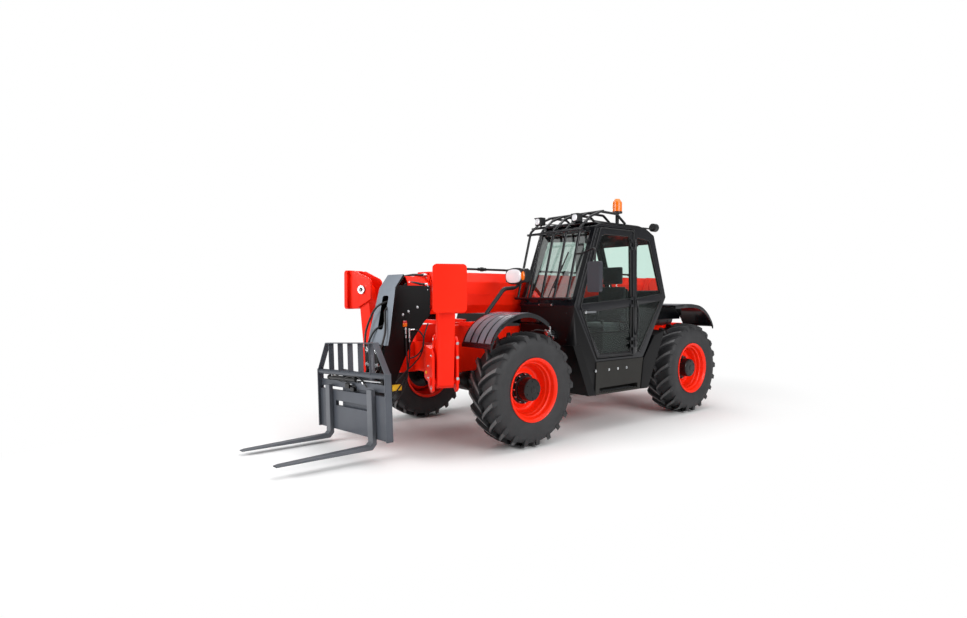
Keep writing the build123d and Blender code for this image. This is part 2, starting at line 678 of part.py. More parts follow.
window_in = cab_in + 62
window_out = cab_out - 62
post_y = cab_y(1065)
door_outline = [(cab_y(36), 1458), (cab_y(378), 2345), (cab_y(430), 2368), (post_y - 8, 2372),
                (post_y - 8, 848),
                (cab_y(384), 848)]
upper_light = [(cab_y(92), 1471), (cab_y(150), 1620), (cab_y(455), 2258), (cab_y(520), 2290),
               (cab_y(985), 2290),
               (cab_y(1005), 2240), (cab_y(1024), 1534)]
lower_light = [(cab_y(125), 1381), (cab_y(1024), 1449), (cab_y(1024), 891), (cab_y(437), 893)]
quarter_upper = [(cab_y(1118), 2290), (cab_y(1383), 2262), (cab_y(1640), 1596), (cab_y(1126), 1530)]
quarter_lower = [(cab_y(1126), 1470), (cab_y(1640), 1515), (cab_y(1190), 885), (cab_y(1130), 885)]
right_front = [(cab_y(150), 1500), (cab_y(455), 2258), (cab_y(1000), 2290), (cab_y(1010), 1500)]


def cut_x(points, x0, x1):
    return prism_x(points, x0, x1, 12)


def pane_x(points, x0, x1):
    """a pane that meets its opening's edge"""
    face = fillet(Polygon(*points, align=None).vertices(), 12)
    face = offset(face, amount=-0.1, kind=Kind.INTERSECTION)
    placed = Plane(origin=(x0, 0, 0), x_dir=(0, 1, 0), z_dir=(1, 0, 0)) * face
    return extrude(placed, amount=x1 - x0, dir=(1, 0, 0))


def slope_box(low, high, depth_in, depth_out):
    """a four-sided outline along the line from low to high, in the YZ plane"""
    run = Vector(*high) - Vector(*low)
    across = Vector(run.Y, -run.X).normalized()
    corners = [Vector(*low) + across * depth_in, Vector(*high) + across * depth_in,
               Vector(*high) + across * depth_out, Vector(*low) + across * depth_out]
    return [(c.X, c.Y) for c in corners]


front_low = (cab_y(30), 1534)
front_high = (cab_y(331), 2314)
back_low = (cab_y(1701), 1637)
back_high = (cab_y(1497), 2233)
shell -= prism_x(slope_box(front_low, front_high, -30, cab_wall + 30), window_in, window_out)
shell -= prism_x(slope_box(back_low, back_high, -cab_wall - 30, 30), window_in, window_out)
shell -= prism_x(door_outline, cab_out - cab_wall - 1, cab_out + 1)
for points in (quarter_upper, quarter_lower):
    shell -= cut_x(points, cab_out - cab_wall - 1, cab_out + 1)
for points in (right_front, quarter_upper):
    shell -= cut_x(points, cab_in - 1, cab_in + cab_wall + 1)
hatch = (window_in + 40, window_out - 40, cab_y(500), cab_y(1230))
shell -= block(*hatch, cab_roof_z - cab_wall - 1, cab_roof_z + 1)
for z in hinge_levels:
    shell += bar_z(cab_out + hinge_out, door_hinge_y, hinge_pin_r, z - 60, z + 60)
    shell += bar_z(cab_out + hinge_out, door_hinge_y, hinge_knuckle_r, z - 20, z + 20)
    shell += block(cab_out - 5, cab_out + hinge_out, door_hinge_y + 6, door_hinge_y + 60, z - 20, z + 20)
save("cab_frame", shell)

pane_mid = cab_out - cab_wall / 2
front_pane = prism_x(slope_box(front_low, front_high, 8, 8 + glass), window_in, window_out)
rear_pane = prism_x(slope_box(back_low, back_high, -8 - glass, -8), window_in, window_out)
side_panes = [pane_x(points, pane_mid, pane_mid + glass) for points in (quarter_upper, quarter_lower)]
far_panes = [pane_x(points, cab_in + 20, cab_in + 20 + glass) for points in (right_front, quarter_upper)]
hatch_pane = block(*hatch, cab_roof_z - 30, cab_roof_z - 30 + glass)
save("cab_windows", front_pane, rear_pane, *side_panes, *far_panes, hatch_pane)

roof_edge = roof_thick * 0.6
roof_outline = [(cab_y(400), cab_roof_z + seat_gap), (cab_y(1330), cab_roof_z + seat_gap),
                (cab_y(1330), cab_roof_z + roof_edge),
                (cab_y(1230), cab_roof_z + roof_thick), (cab_y(520), cab_roof_z + roof_thick),
                (cab_y(390), cab_roof_z + roof_edge)]
roof = prism_x(roof_outline, cab_in + 15, cab_out - 60)
roof -= block(window_in + 20, window_out - 60, cab_y(480), cab_y(1250), cab_roof_z - 1,
              cab_roof_z + roof_thick / 2)
save("cab_roof", roof)

leaf = Plane.YZ * Polygon(*door_outline, align=None)
leaf = offset(leaf, amount=-panel_gap, kind=Kind.INTERSECTION)
door = extrude(Pos(cab_out - cab_wall, 0, 0) * leaf, amount=cab_wall, dir=(1, 0, 0))
for points in (upper_light, lower_light):
    door -= cut_x(points, cab_out - cab_wall - 1, cab_out + 1)
for z in hinge_levels:
    for z0, z1 in ((z - 60, z - 23), (z + 23, z + 60)):
        knuckle = bar_z(cab_out + hinge_out, door_hinge_y, hinge_knuckle_r, z0, z1)
        knuckle += block(cab_out - 3, cab_out + hinge_out, door_hinge_y - 75, door_hinge_y - 16, z0, z1)
        knuckle += block(cab_out + 6, cab_out + hinge_out, door_hinge_y - 20, door_hinge_y, z0, z1)
        door += knuckle - bar_z(cab_out + hinge_out, door_hinge_y, hinge_pin_r + fit, z0 - 1, z1 + 1)
for y in (cab_y(100), cab_y(225)):
    door += block(cab_out - 1, cab_out + 30, y - 10, y + 10, 1412, 1432)
door += block(cab_out + 18, cab_out + 30, cab_y(90), cab_y(235), 1412, 1432)
save("cab_door", door)
save("door_windows", *[pane_x(points, pane_mid, pane_mid + glass) for points in (upper_light, lower_light)])

# the nose below the windscreen and the panels below the floor
nose_outline = [(cab_y(-2), 1452), (cab_y(-17), 1022), (cab_y(240), 438), (cab_y(346), 438),
                (cab_y(366), cab_floor_z - 1), (cab_y(366), 840), (cab_y(200), 1400)]
nose = prism_x(nose_outline, cab_in + 30, cab_out)
front_band = [(cab_y(-39), 1025), (cab_y(72), 1029), (cab_y(346), 436), (cab_y(217), 443)]
nose += prism_x(front_band, cab_out - 140, cab_out + 20)
nose -= extrude(Pos(0, 0, 0) * cab_face, amount=2000, dir=(1, 0, 0))
save("cab_nose", nose)

step_outline = [(cab_y(346) + seat_gap, 438), (cab_y(1187), 430), (cab_y(1234), 749),
                (cab_y(1250), cab_floor_z - seat_gap),
                (cab_y(366) + seat_gap, cab_floor_z - seat_gap)]
step = prism_x(step_outline, cab_in + 160, cab_out + 10)
step -= block(cab_out - 130, cab_out + 11, cab_y(420), cab_y(1130), 455, 512)
save("side_step", step)

rear_band = [(cab_y(1689), 1135), (cab_y(1473), 1080), (cab_y(1262), cab_floor_z - 2), (cab_y(1235), 749),
             (cab_y(1188), 430), (cab_y(1333), 425)]
rear_panel = prism_x(rear_band, cab_in + 30, cab_out + 18)
rear_panel -= extrude(Pos(0, 0, 0) * cab_face, amount=2000, dir=(1, 0, 0))
save("cab_rear_panel", rear_panel)

# round bars in front of the windscreen that curve back over the roof
guard_r = 15.0
guard_low_y = cab_y(-58)
guard_x = [cab_in + 28 + i * (cab_out - cab_in - 88) / 4 for i in range(5)]
bars = None
for x in guard_x:
    route = [(x, guard_low_y, 1525), (x, cab_y(160), 2345), (x, cab_y(330), 2480), (x, cab_y(510), 2550),
             (x, cab_y(800), 2545), (x, cab_y(960), cab_roof_z + roof_thick + seat_gap)]
    hoop = pipe(route, guard_r, 60)
    bars = hoop if bars is None else bars + hoop
lamp_bar = (cab_y(225), 2397.0)
for y, z in ((guard_low_y, 1540), (cab_y(148), 2315), lamp_bar, (cab_y(510), 2550)):
    bars += bar_x(y, z, guard_r, guard_x[0] - 40, guard_x[-1] + 40)
for x in (guard_x[0] + 60, guard_x[-1] - 60):
    bars += block(x - 15, x + 15, guard_low_y, cab_y(14), 1520, 1540)
    bars += block(x - 15, x + 15, cab_y(148), cab_y(345), 2310, 2330)
bars -= extrude(Pos(0, 0, 0) * offset(cab_face, amount=seat_gap, kind=Kind.INTERSECTION), amount=2000,
                dir=(1, 0, 0))
bars -= roof
save("cab_guard", bars)

# ---- inside the cab

cab_mid = (cab_in + cab_out) / 2
room_floor = cab_floor_z + cab_wall
seat_y = cab_y(1010)
seat_base = block(cab_mid - 170, cab_mid + 170, seat_y - 190, seat_y + 150, room_floor, 1130)
seat_base += block(cab_mid - 60, cab_mid + 60, seat_y + 140, seat_y + 262, 1060, 1130)
seat_base += block(cab_mid - 60, cab_mid + 60, seat_y + 232, seat_y + 262, 1060, 1400)
save("seat_base", seat_base)
cushion = block(cab_mid - 235, cab_mid + 235, seat_y - 250, seat_y + 190, 1130 + seat_gap, 1235)
back = prism_x([(seat_y + 130, 1240), (seat_y + 232 - seat_gap, 1240), (seat_y + 232 - seat_gap, 1700),
                (seat_y + 170, 1700)], cab_mid - 225, cab_mid + 225)
headrest = prism_x([(seat_y + 168, 1700 + seat_gap), (seat_y + 235, 1700 + seat_gap),
                    (seat_y + 235, 1960), (seat_y + 180, 1960)], cab_mid - 140, cab_mid + 140)
save("driver_seat", cushion, back, headrest)

dash_outline = [(cab_y(120), 1470), (cab_y(300), 1440), (cab_y(330), 1380), (cab_y(400), room_floor)]
dash = prism_x(dash_outline, cab_in + cab_wall + 30, cab_out - cab_wall - 60)
dash = dash & extrude(Pos(0, 0, 0) * offset(cab_room, amount=-seat_gap, kind=Kind.INTERSECTION),
                      amount=2000, dir=(1, 0, 0))
save("dashboard", dash)
column_low = (cab_mid, cab_y(335), 1200)
column_high = (cab_mid, cab_y(470), 1440)
axis_run = (Vector(*column_high) - Vector(*column_low)).normalized()
wheel_plane = Plane(origin=column_high, z_dir=axis_run)
column = bar_between(Vector(*column_low) + axis_run * 45, column_high, 28)
column -= dash
column += extrude(wheel_plane * Circle(52), amount=28)
column += wheel_plane * Torus(175, 14)
for turn in (90, 210, 330):
    spoke = Pos(87, 0, 8) * Box(176, 26, 12)
    column += wheel_plane * (Rot(0, 0, turn) * spoke)
save("steering_wheel", column)

# ---- engine bay on the right, with a lifting hood

bay_y0 = cab_y(30)
bay_y1 = rear_axle_y - 560.0
bay_outline = [(bay_y0 + 260, bay_floor_z), (bay_y1 - 340, bay_floor_z), (bay_y1 - 140, bay_sill_z),
               (bay_y0 + 30, bay_sill_z)]
bay = prism_x(bay_outline, bay_out, bay_in)
bay -= prism_x([(bay_y0 + 280, bay_floor_z + bay_wall), (bay_y1 - 355, bay_floor_z + bay_wall),
                (bay_y1 - 175, bay_sill_z + 1),
                (bay_y0 + 70, bay_sill_z + 1)], bay_out + bay_wall, bay_in - bay_wall)
bay += block(bay_in - bay_wall, bay_in, bay_y0 + 30, bay_y1 - 140, bay_sill_z - 5, hood_top_z - 40)
hinge_x = bay_in - 30
for y in (bay_y0 + 250, bay_y1 - 300):
    bay += bar_y(hinge_x, hood_top_z + 8, 12, y - 80, y + 80)
    bay += block(hinge_x - 10, bay_in - 2, y - 20, y + 20, hood_top_z - 45, hood_top_z + 8)
save("engine_bay", bay)

hood_outline = [(bay_y0 + 30, bay_sill_z + run_gap), (bay_y0 - 20, 1120), (bay_y0 + 40, 1330),
                (bay_y0 + 170, hood_top_z),
                (bay_y1 - 150, hood_top_z), (bay_y1 - 40, 1330), (bay_y1 - 20, 1180),
                (bay_y1 - 140, bay_sill_z + run_gap)]
hood_face = Plane.YZ * Polygon(*hood_outline, align=None)
hood_room = offset(hood_face, amount=-bay_wall, kind=Kind.INTERSECTION)
hood = extrude(Pos(bay_out, 0, 0) * hood_face, amount=bay_in - bay_wall - run_gap - bay_out, dir=(1, 0, 0))
hood -= extrude(Pos(bay_out + bay_wall, 0, 0) * hood_room, amount=2000, dir=(1, 0, 0))
hood -= block(bay_out + bay_wall, 0, bay_y0 + 60, bay_y1 - 165, bay_sill_z, bay_sill_z + 60)
corner = [(bay_out - 1, hood_top_z - 70), (bay_out + 70, hood_top_z + 1), (bay_out - 1, hood_top_z + 1)]
hood -= prism_y(corner, bay_y0 - 100, bay_y1 + 100)
for y in (bay_y0 + 250, bay_y1 - 300):
    hood -= block(hinge_x - 28, 0, y - 95, y + 95, hood_top_z - bay_wall - 5, hood_top_z + 5)
    for y0, y1 in ((y - 80, y - 25), (y + 25, y + 80)):
        leaf = bar_y(hinge_x, hood_top_z + 8, 20, y0, y1) + block(hinge_x - 60, hinge_x, y0, y1,
                                                                  hood_top_z - 1, hood_top_z + 20)
        hood += leaf - bar_y(hinge_x, hood_top_z + 8, 12 + fit, y0 - 1, y1 + 1)
save("engine_hood", hood)

engine = block(-960, -430, bay_y0 + 330, bay_y1 - 520, bay_floor_z + bay_wall, 1120)
engine += block(-900, -600, bay_y1 - 530, bay_y1 - 380, bay_floor_z + bay_wall + 60, 900)
save("engine_block", engine)

# ---- lamps, beacon and mirrors

head_x = 570.0
head_y = front_axle_y + 300.0
head_z = 1800.0
lamp = prism_x([(head_y - 40, head_z - 70), (head_y - 40, head_z + 70), (head_y + 10, head_z + 80),
                (head_y + 60, head_z + 45),
                (head_y + 60, head_z - 45), (head_y + 10, head_z - 80)], head_x - 160, head_x + 160)
arm_route = [(head_x + 100, front_axle_y - 255, 1285 + seat_gap),
             (head_x + 100, front_axle_y - 255, 1370), (head_x + 96, front_axle_y + 10, 1650),
             (head_x + 60, front_axle_y + 200, 1662), (head_x + 20, head_y + 10, 1700),
             (head_x + 10, head_y + 15, 1730)]
stalk = pipe(arm_route, 16, 28)
lamp += stalk
lamps = [lamp, mirrored(lamp)]
for x, y, z in ((cab_in + 140, cab_y(218), 2473.0), (cab_out - 158, cab_y(218), 2462.0)):
    lamps.append(block(x - 50, x + 50, y - 45, y + 35, z - 48, z + 48))
    lamps[-1] += bar_z(x, lamp_bar[0], 10, lamp_bar[1] + guard_r + seat_gap, z)
save("headlights", *lamps[:2])
rear_lamp = bar_y(1050, 2440, 52, cab_y(1545), cab_y(1615))
rear_lamp += block(1038, 1062, cab_y(1330) + seat_gap, cab_y(1560), 2412, 2428)
save("work_lights", *lamps[2:], rear_lamp)

beacon = bar_z(900, cab_y(1028), 22, cab_roof_z + roof_thick + seat_gap, 2590)
beacon += bar_z(900, cab_y(1028), 62, 2590, 2612)
beacon += Pos(900, cab_y(1028), 2612) * Cylinder(58, 110, align=(Align.CENTER, Align.CENTER, Align.MIN))
beacon += Pos(900, cab_y(1028), 2722) * Cone(58, 30, 45, align=(Align.CENTER, Align.CENTER, Align.MIN))
save("beacon", beacon)

mirror_x = 1426.0
mirror_half = 82.0
mirror_y = cab_y(18)
left_mirror = prism_y([(mirror_x - mirror_half, 1612), (mirror_x + mirror_half, 1612),
                       (mirror_x + mirror_half, 1938), (mirror_x - mirror_half, 1938)],
                      mirror_y - 55, mirror_y, 26)
left_mirror += pipe([(guard_x[-1] + guard_r + seat_gap, cab_y(79), 2040),
                     (cab_out + 40, cab_y(79), 2040), (mirror_x - 60, cab_y(40), 2085),
                     (mirror_x, cab_y(-6), 2060), (mirror_x, cab_y(-8), 1925)], 11, 26)
save("left_mirror", left_mirror)
right_y = front_axle_y + 120
right_mirror = prism_y([(-mirror_x - mirror_half, 1290), (mirror_half - mirror_x, 1290),
                        (mirror_half - mirror_x, 1600), (-mirror_x - mirror_half, 1600)],
                       right_y - 55, right_y, 26)
right_mirror += pipe([(-fender_in - 300, right_y - 30, 1337), (-fender_in - 300, right_y - 30, 1590),
                      (-mirror_x + 160, right_y - 28, 1670), (-mirror_x, right_y - 28, 1665),
                      (-mirror_x, right_y - 28, 1590)], 11, 26)
right_mirror -= Pos(0, 0, seat_gap) * mirrored(fender(front_arc))
save("right_mirror", right_mirror)
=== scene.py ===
import json
import math
import bmesh
import bpy
from mathutils import Matrix, Vector
from mathutils.bvhtree import BVHTree


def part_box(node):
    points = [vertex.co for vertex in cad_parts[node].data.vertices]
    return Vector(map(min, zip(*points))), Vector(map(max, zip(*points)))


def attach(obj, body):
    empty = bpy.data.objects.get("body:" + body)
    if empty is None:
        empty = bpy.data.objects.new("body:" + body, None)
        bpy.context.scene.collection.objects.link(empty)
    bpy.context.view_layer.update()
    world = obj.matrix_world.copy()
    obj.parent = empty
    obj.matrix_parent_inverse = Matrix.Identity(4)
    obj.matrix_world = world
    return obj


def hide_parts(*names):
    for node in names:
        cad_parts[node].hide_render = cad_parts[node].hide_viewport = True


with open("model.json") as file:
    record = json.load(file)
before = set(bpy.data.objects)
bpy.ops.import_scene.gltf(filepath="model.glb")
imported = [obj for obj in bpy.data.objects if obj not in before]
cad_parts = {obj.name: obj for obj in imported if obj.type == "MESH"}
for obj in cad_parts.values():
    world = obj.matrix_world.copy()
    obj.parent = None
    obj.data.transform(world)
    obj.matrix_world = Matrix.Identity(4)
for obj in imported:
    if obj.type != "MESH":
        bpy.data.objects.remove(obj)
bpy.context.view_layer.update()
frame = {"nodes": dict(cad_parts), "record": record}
scene = bpy.context.scene
nodeBody = {n: b for b, ns in frame["record"]["behaviour"]["bodies"].items() for n in ns}
print("frame loaded:", len(nodeBody), "nodes")


def tint(red, green, blue):
    def linear(value):
        value = value / 255
        return value / 12.92 if value <= 0.04045 else ((value + 0.055) / 1.055) ** 2.4
    return (linear(red), linear(green), linear(blue), 1.0)


class Wire:
    def __init__(self, finish, socket):
        self.finish = finish
        self.socket = socket

    def maths(self, kind, first, second):
        node = self.finish.tree.nodes.new("ShaderNodeMath")
        node.operation = kind
        self.finish.feed(node.inputs[0], first)
        self.finish.feed(node.inputs[1], second)
        return Wire(self.finish, node.outputs[0])

    def __add__(self, other):
        return self.maths("ADD", self, other)

    def __radd__(self, other):
        return self.maths("ADD", other, self)

    def __sub__(self, other):
        return self.maths("SUBTRACT", self, other)

    def __mul__(self, other):
        return self.maths("MULTIPLY", self, other)

    def __rmul__(self, other):
        return self.maths("MULTIPLY", other, self)

    def __pow__(self, other):
        return self.maths("POWER", self, other)

    def ramped(self, low, high):
        node = self.finish.tree.nodes.new("ShaderNodeMapRange")
        node.interpolation_type = "SMOOTHSTEP"
        self.finish.feed(node.inputs["Value"], self)
        node.inputs["From Min"].default_value = low
        node.inputs["From Max"].default_value = high
        return Wire(self.finish, node.outputs["Result"])


class Finish:
    def __init__(self, name, **settings):
        self.material = bpy.data.materials.new(name)
        self.material.use_nodes = True
        self.tree = self.material.node_tree
        self.shader = self.tree.nodes["Principled BSDF"]
        for socket, value in settings.items():
            self.shader.inputs[socket.replace("_", " ")].default_value = value

    def feed(self, target, item):
        if isinstance(item, Wire):
            self.tree.links.new(item.socket, target)
        else:
            target.default_value = item

    def node(self, kind, settings=None, sockets=None, out=0):
        node = self.tree.nodes.new("ShaderNode" + kind)
        for key, value in (settings or {}).items():
            setattr(node, key, value)
        for key, value in (sockets or {}).items():
            self.feed(node.inputs[key], value)
        return Wire(self, node.outputs[out])

    def place(self):
        return self.node("TexCoord", out="Object")

    def noise(self, scale, detail, roughness=0.5, stretch=None):
        vector = self.place()
        if stretch:
            vector = self.node("VectorMath", {"operation": "MULTIPLY"}, {0: vector, 1: stretch})
        return self.node("TexNoise", None,
            {"Vector": vector, "Scale": scale, "Detail": detail, "Roughness": roughness})

    def blend(self, factor, first, second):
        node = self.tree.nodes.new("ShaderNodeMix")
        node.data_type = "RGBA"
        self.feed(node.inputs["Factor"], factor)
        self.feed(node.inputs[6], first)
        self.feed(node.inputs[7], second)
        return Wire(self, node.outputs[2])

    def mottled(self, dark, light, factor):
        self.feed(self.shader.inputs["Base Color"], self.blend(factor, tint(*dark), tint(*light)))

    def rough(self, value, grain, spread):
        self.feed(self.shader.inputs["Roughness"], value + (grain - 0.5) * spread)

    def relief(self, height, distance, strength):
        bump = self.node("Bump", None, {"Height": height, "Distance": distance, "Strength": strength})
        self.feed(self.shader.inputs["Normal"], bump)
        return self

    def mixed(self, factor, first, second):
        joined = self.tree.nodes.new("ShaderNodeMixShader")
        self.feed(joined.inputs[0], factor)
        self.tree.links.new(first.outputs[0], joined.inputs[1])
        self.tree.links.new(second.outputs[0], joined.inputs[2])
        self.tree.links.new(joined.outputs[0], self.tree.nodes["Material Output"].inputs["Surface"])
        return self


def paint(name, dark, light, settings):
    made = Finish(name, Coat_Weight=settings["coat"], Coat_Roughness=0.06,
        Specular_IOR_Level=settings.get("gloss", 0.5), Metallic=settings.get("metal", 0.0))
    made.mottled(dark, light, made.noise(1.7, 4.0).ramped(0.3, 0.7))
    made.rough(settings["rough"], made.noise(60.0, 4.0), 0.08)
    return made.relief(made.noise(settings.get("peelScale", 420.0), 2.0), settings.get("peel", 0.00008),
        0.6)


paints = {  # material, darker and lighter colour, settings
    "red": ("redPaint", (246, 32, 6), (253, 38, 9),
        {"rough": 0.38, "coat": 0.03, "gloss": 0.15, "peelScale": 300.0}),
    "rimRed": ("rimPaint", (246, 36, 8), (253, 44, 12), {"rough": 0.36, "coat": 0.05, "gloss": 0.25}),
    "black": ("blackGloss", (12, 13, 17), (18, 19, 24), {"rough": 0.2, "coat": 0.18, "gloss": 0.3}),
    "deepBlack": ("blackPanel", (7, 7, 8), (10, 10, 12), {"rough": 0.36, "coat": 0.0, "gloss": 0.16}),
    # light grey for the raised bands on the black fenders: a painted highlight, not the fender's own colour
    "fenderGloss": ("fenderGloss", (84, 84, 92), (116, 116, 126),
        {"rough": 0.26, "coat": 0.3, "gloss": 0.5}),
    "satin": ("blackSatin", (34, 33, 31), (41, 40, 38),
        {"rough": 0.5, "coat": 0.0, "gloss": 0.2, "peel": 0.0003}),
    "blackSteel": ("blackSteel", (13, 13, 14), (19, 19, 20), {"rough": 0.34, "coat": 0.1, "gloss": 0.3}),
    "forkSteel": ("forkSteel", (68, 72, 79), (80, 84, 92),
        {"rough": 0.42, "coat": 0.1, "gloss": 0.35, "metal": 0.2}),
    "bladeSteel": ("bladeSteel", (88, 91, 97), (100, 103, 109),
        {"rough": 0.4, "coat": 0.1, "gloss": 0.4, "metal": 0.2}),
    # grey for the black head's faces turned to the front: painted light, not a second paint
    "headGrey": ("headGrey", (122, 130, 140), (134, 142, 152), {"rough": 0.4, "coat": 0.1, "metal": 0.1}),
    "plastic": ("blackPlastic", (20, 21, 23), (28, 29, 31),
        {"rough": 0.45, "coat": 0.0, "gloss": 0.3, "peel": 0.0001}),
    "trim": ("cabTrim", (11, 13, 13), (16, 18, 18),
        {"rough": 0.6, "coat": 0.0, "gloss": 0.12, "peel": 0.00005}),
    "castGrey": ("engineGrey", (74, 77, 80), (98, 101, 104),
        {"rough": 0.55, "coat": 0.0, "peel": 0.0006, "peelScale": 160.0}),
    "mirrorGrey": ("mirrorGrey", (44, 45, 51), (52, 53, 60), {"rough": 0.4, "coat": 0.05, "gloss": 0.25}),
    "hose": ("hoseRubber", (18, 18, 19), (26, 26, 27), {"rough": 0.42, "coat": 0.0, "peel": 0.0002}),
    "whiteLens": ("whiteLens", (226, 231, 236), (242, 245, 248), {"rough": 0.16, "coat": 0.6}),
    "amber": ("amberLens", (232, 106, 2), (248, 138, 8), {"rough": 0.2, "coat": 0.3, "gloss": 0.3}),
    "redLens": ("redLens", (190, 12, 10), (214, 20, 14), {"rough": 0.18, "coat": 0.6}),
    "yellow": ("yellowPlate", (240, 196, 20), (248, 206, 34), {"rough": 0.4, "coat": 0.2}),
}
finishes = {key: paint(*look) for key, look in paints.items()}


def metalFinish(name, dark, light, rough):
    made = Finish(name, Metallic=1.0)
    made.mottled(dark, light, made.noise(9.0, 4.0).ramped(0.3, 0.7))
    made.rough(rough, made.noise(90.0, 3.0), 0.1)
    return made.relief(made.noise(500.0, 2.0), 0.00005, 0.5)


finishes["steel"] = metalFinish("zincSteel", (176, 179, 182), (206, 208, 210), 0.27)
finishes["chrome"] = metalFinish("chromeRod", (212, 214, 217), (228, 230, 232), 0.12)
finishes["mirrorGlass"] = metalFinish("mirrorGlass", (214, 218, 222), (220, 224, 228), 0.08)


def rubberFinish(name, dark, light, rough):
    made = Finish(name, Specular_IOR_Level=0.45)
    made.mottled(dark, light, made.noise(5.0, 5.0, 0.6).ramped(0.3, 0.72))
    made.rough(rough, made.noise(70.0, 4.0), 0.16)
    return made.relief(made.noise(240.0, 5.0, 0.65), 0.0006, 0.5)


finishes["rubber"] = rubberFinish("tyreRubber", (34, 34, 36), (44, 44, 46), 0.62)
# lug tops painted much lighter than the tyre: a painted highlight, the rubber itself is the same
finishes["lugTop"] = rubberFinish("lugRubber", (76, 76, 77), (98, 98, 99), 0.5)
finishes["seal"] = rubberFinish("sealRubber", (14, 14, 15), (20, 20, 21), 0.5)


def glassFinish(name, shade, settings):
    made = Finish(name)
    tree = made.tree
    tree.nodes.remove(made.shader)
    clear = tree.nodes.new("ShaderNodeBsdfTransparent")
    clear.inputs["Color"].default_value = tint(*shade)
    shine = tree.nodes.new("ShaderNodeBsdfGlossy")
    shine.inputs["Color"].default_value = (1.0, 1.0, 1.0, 1.0)
    shine.inputs["Roughness"].default_value = settings["rough"]
    facing = made.node("LayerWeight", None, {"Blend": 0.5}, "Facing")
    return made.mixed(settings["face"] + settings["rim"] * facing ** 4.0, clear, shine)


finishes["glass"] = glassFinish("tintedGlass", (242, 250, 247), {"rough": 0.02, "face": 0.012, "rim": 0.35})
finishes["screen"] = glassFinish("screenGlass", (242, 250, 247), {"rough": 0.03, "face": 0.33, "rim": 0.4})


def fabricFinish(name, dark, light):
    made = Finish(name, Sheen_Weight=0.25, Specular_IOR_Level=0.3)
    made.mottled(dark, light, made.noise(40.0, 4.0).ramped(0.35, 0.65))
    made.rough(0.82, made.noise(200.0, 3.0), 0.12)
    return made.relief(made.noise(900.0, 2.0, 0.5, (1.0, 1.0, 0.4)), 0.0005, 0.6)


finishes["fabric"] = fabricFinish("seatFabric", (26, 27, 30), (40, 41, 45))
print("finishes mixed:", len(finishes))
slots = {
    "red_paint": ("red", "rimRed"),
    "black_gloss": ("black", "fenderGloss"),
    "black_satin": ("deepBlack", "satin"),
    "black_steel": ("blackSteel", "yellow"),
    "dark_steel": ("forkSteel", "bladeSteel"),
    "black_plastic": ("plastic", "trim", "mirrorGrey", "hose", "seal"),
    "engine_grey": ("castGrey",),
    "chrome_rod": ("whiteLens", "steel", "chrome", "mirrorGlass"),
    "amber_lens": ("amber", "redLens"),
    "tyre_rubber": ("rubber",),
    "tinted_glass": ("glass",),
    "seat_fabric": ("fabric",),
}
slotOf = {finish: slot for slot, keys in slots.items() for finish in keys}


def joinUp(name, mesh, body, finish, smooth=38.0, slot=None):
    made = bpy.data.objects.new(name, mesh)
    scene.collection.objects.link(made)
    shown = [finish] if isinstance(finish, str) else finish
    for each in shown:
        mesh.materials.append(finishes[each].material)
    mesh.polygons.foreach_set("use_smooth", [True] * len(mesh.polygons))
    mesh.set_sharp_from_angle(angle=math.radians(smooth))
    even = made.modifiers.new("evenShading", "WEIGHTED_NORMAL")
    even.keep_sharp = True
    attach(made, body)
    slot = slot or slotOf[shown[0]]
    return made


sharpAngle = math.radians(28)
roomAlong, roomAcross = 2.6, 2.1  # edge widths that an edge, and the face beside it, has to offer


def roundEdges(work, width):
    picked = []
    for edge in work.edges:
        if len(edge.link_faces) != 2 or edge.calc_length() < roomAlong * width:
            continue
        if edge.calc_face_angle(0.0) < sharpAngle:
            continue
        breadths = [face.calc_area() / max(e.calc_length() for e in face.edges) for face in edge.link_faces]
        if min(breadths) > roomAcross * width:
            picked.append(edge)
    if picked:
        bmesh.ops.bevel(work, geom=picked, offset=width, offset_type="OFFSET", segments=2, profile=0.6,
            affect="EDGES", clamp_overlap=False)


weldGap = 0.00004
flatAngle = math.radians(0.6)
foldShare = 0.035  # a face has folded where the area changes by more


def totalArea(work):
    return sum(face.calc_area() for face in work.faces)


def rounded(mesh, edge):
    for share in (1.0, 0.6, 0.35, 0.0):  # a smaller radius where a wide one would fold a face over itself
        work = bmesh.new()
        work.from_mesh(mesh)
        bmesh.ops.remove_doubles(work, verts=work.verts, dist=weldGap)
        before = totalArea(work)
        bmesh.ops.dissolve_limit(work, angle_limit=flatAngle, verts=work.verts, edges=work.edges)
        if edge * share:
            roundEdges(work, edge * share)
        bmesh.ops.triangulate(work, faces=[face for face in work.faces if len(face.verts) > 4])
        if abs(totalArea(work) - before) < foldShare * before or not share:
            return work
        work.free()


def cadCopy(node, finish, edge, slot=None):
    mesh = frame["nodes"][node].data.copy()
    mesh.name = node + "Shape"
    mesh.materials.clear()
    work = rounded(mesh, edge)
    for layer in list(work.loops.layers.uv):
        work.loops.layers.uv.remove(layer)
    work.to_mesh(mesh)
    work.free()
    made = joinUp(node + "Skin", mesh, nodeBody[node], finish, slot=slot)
    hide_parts(node)
    return made


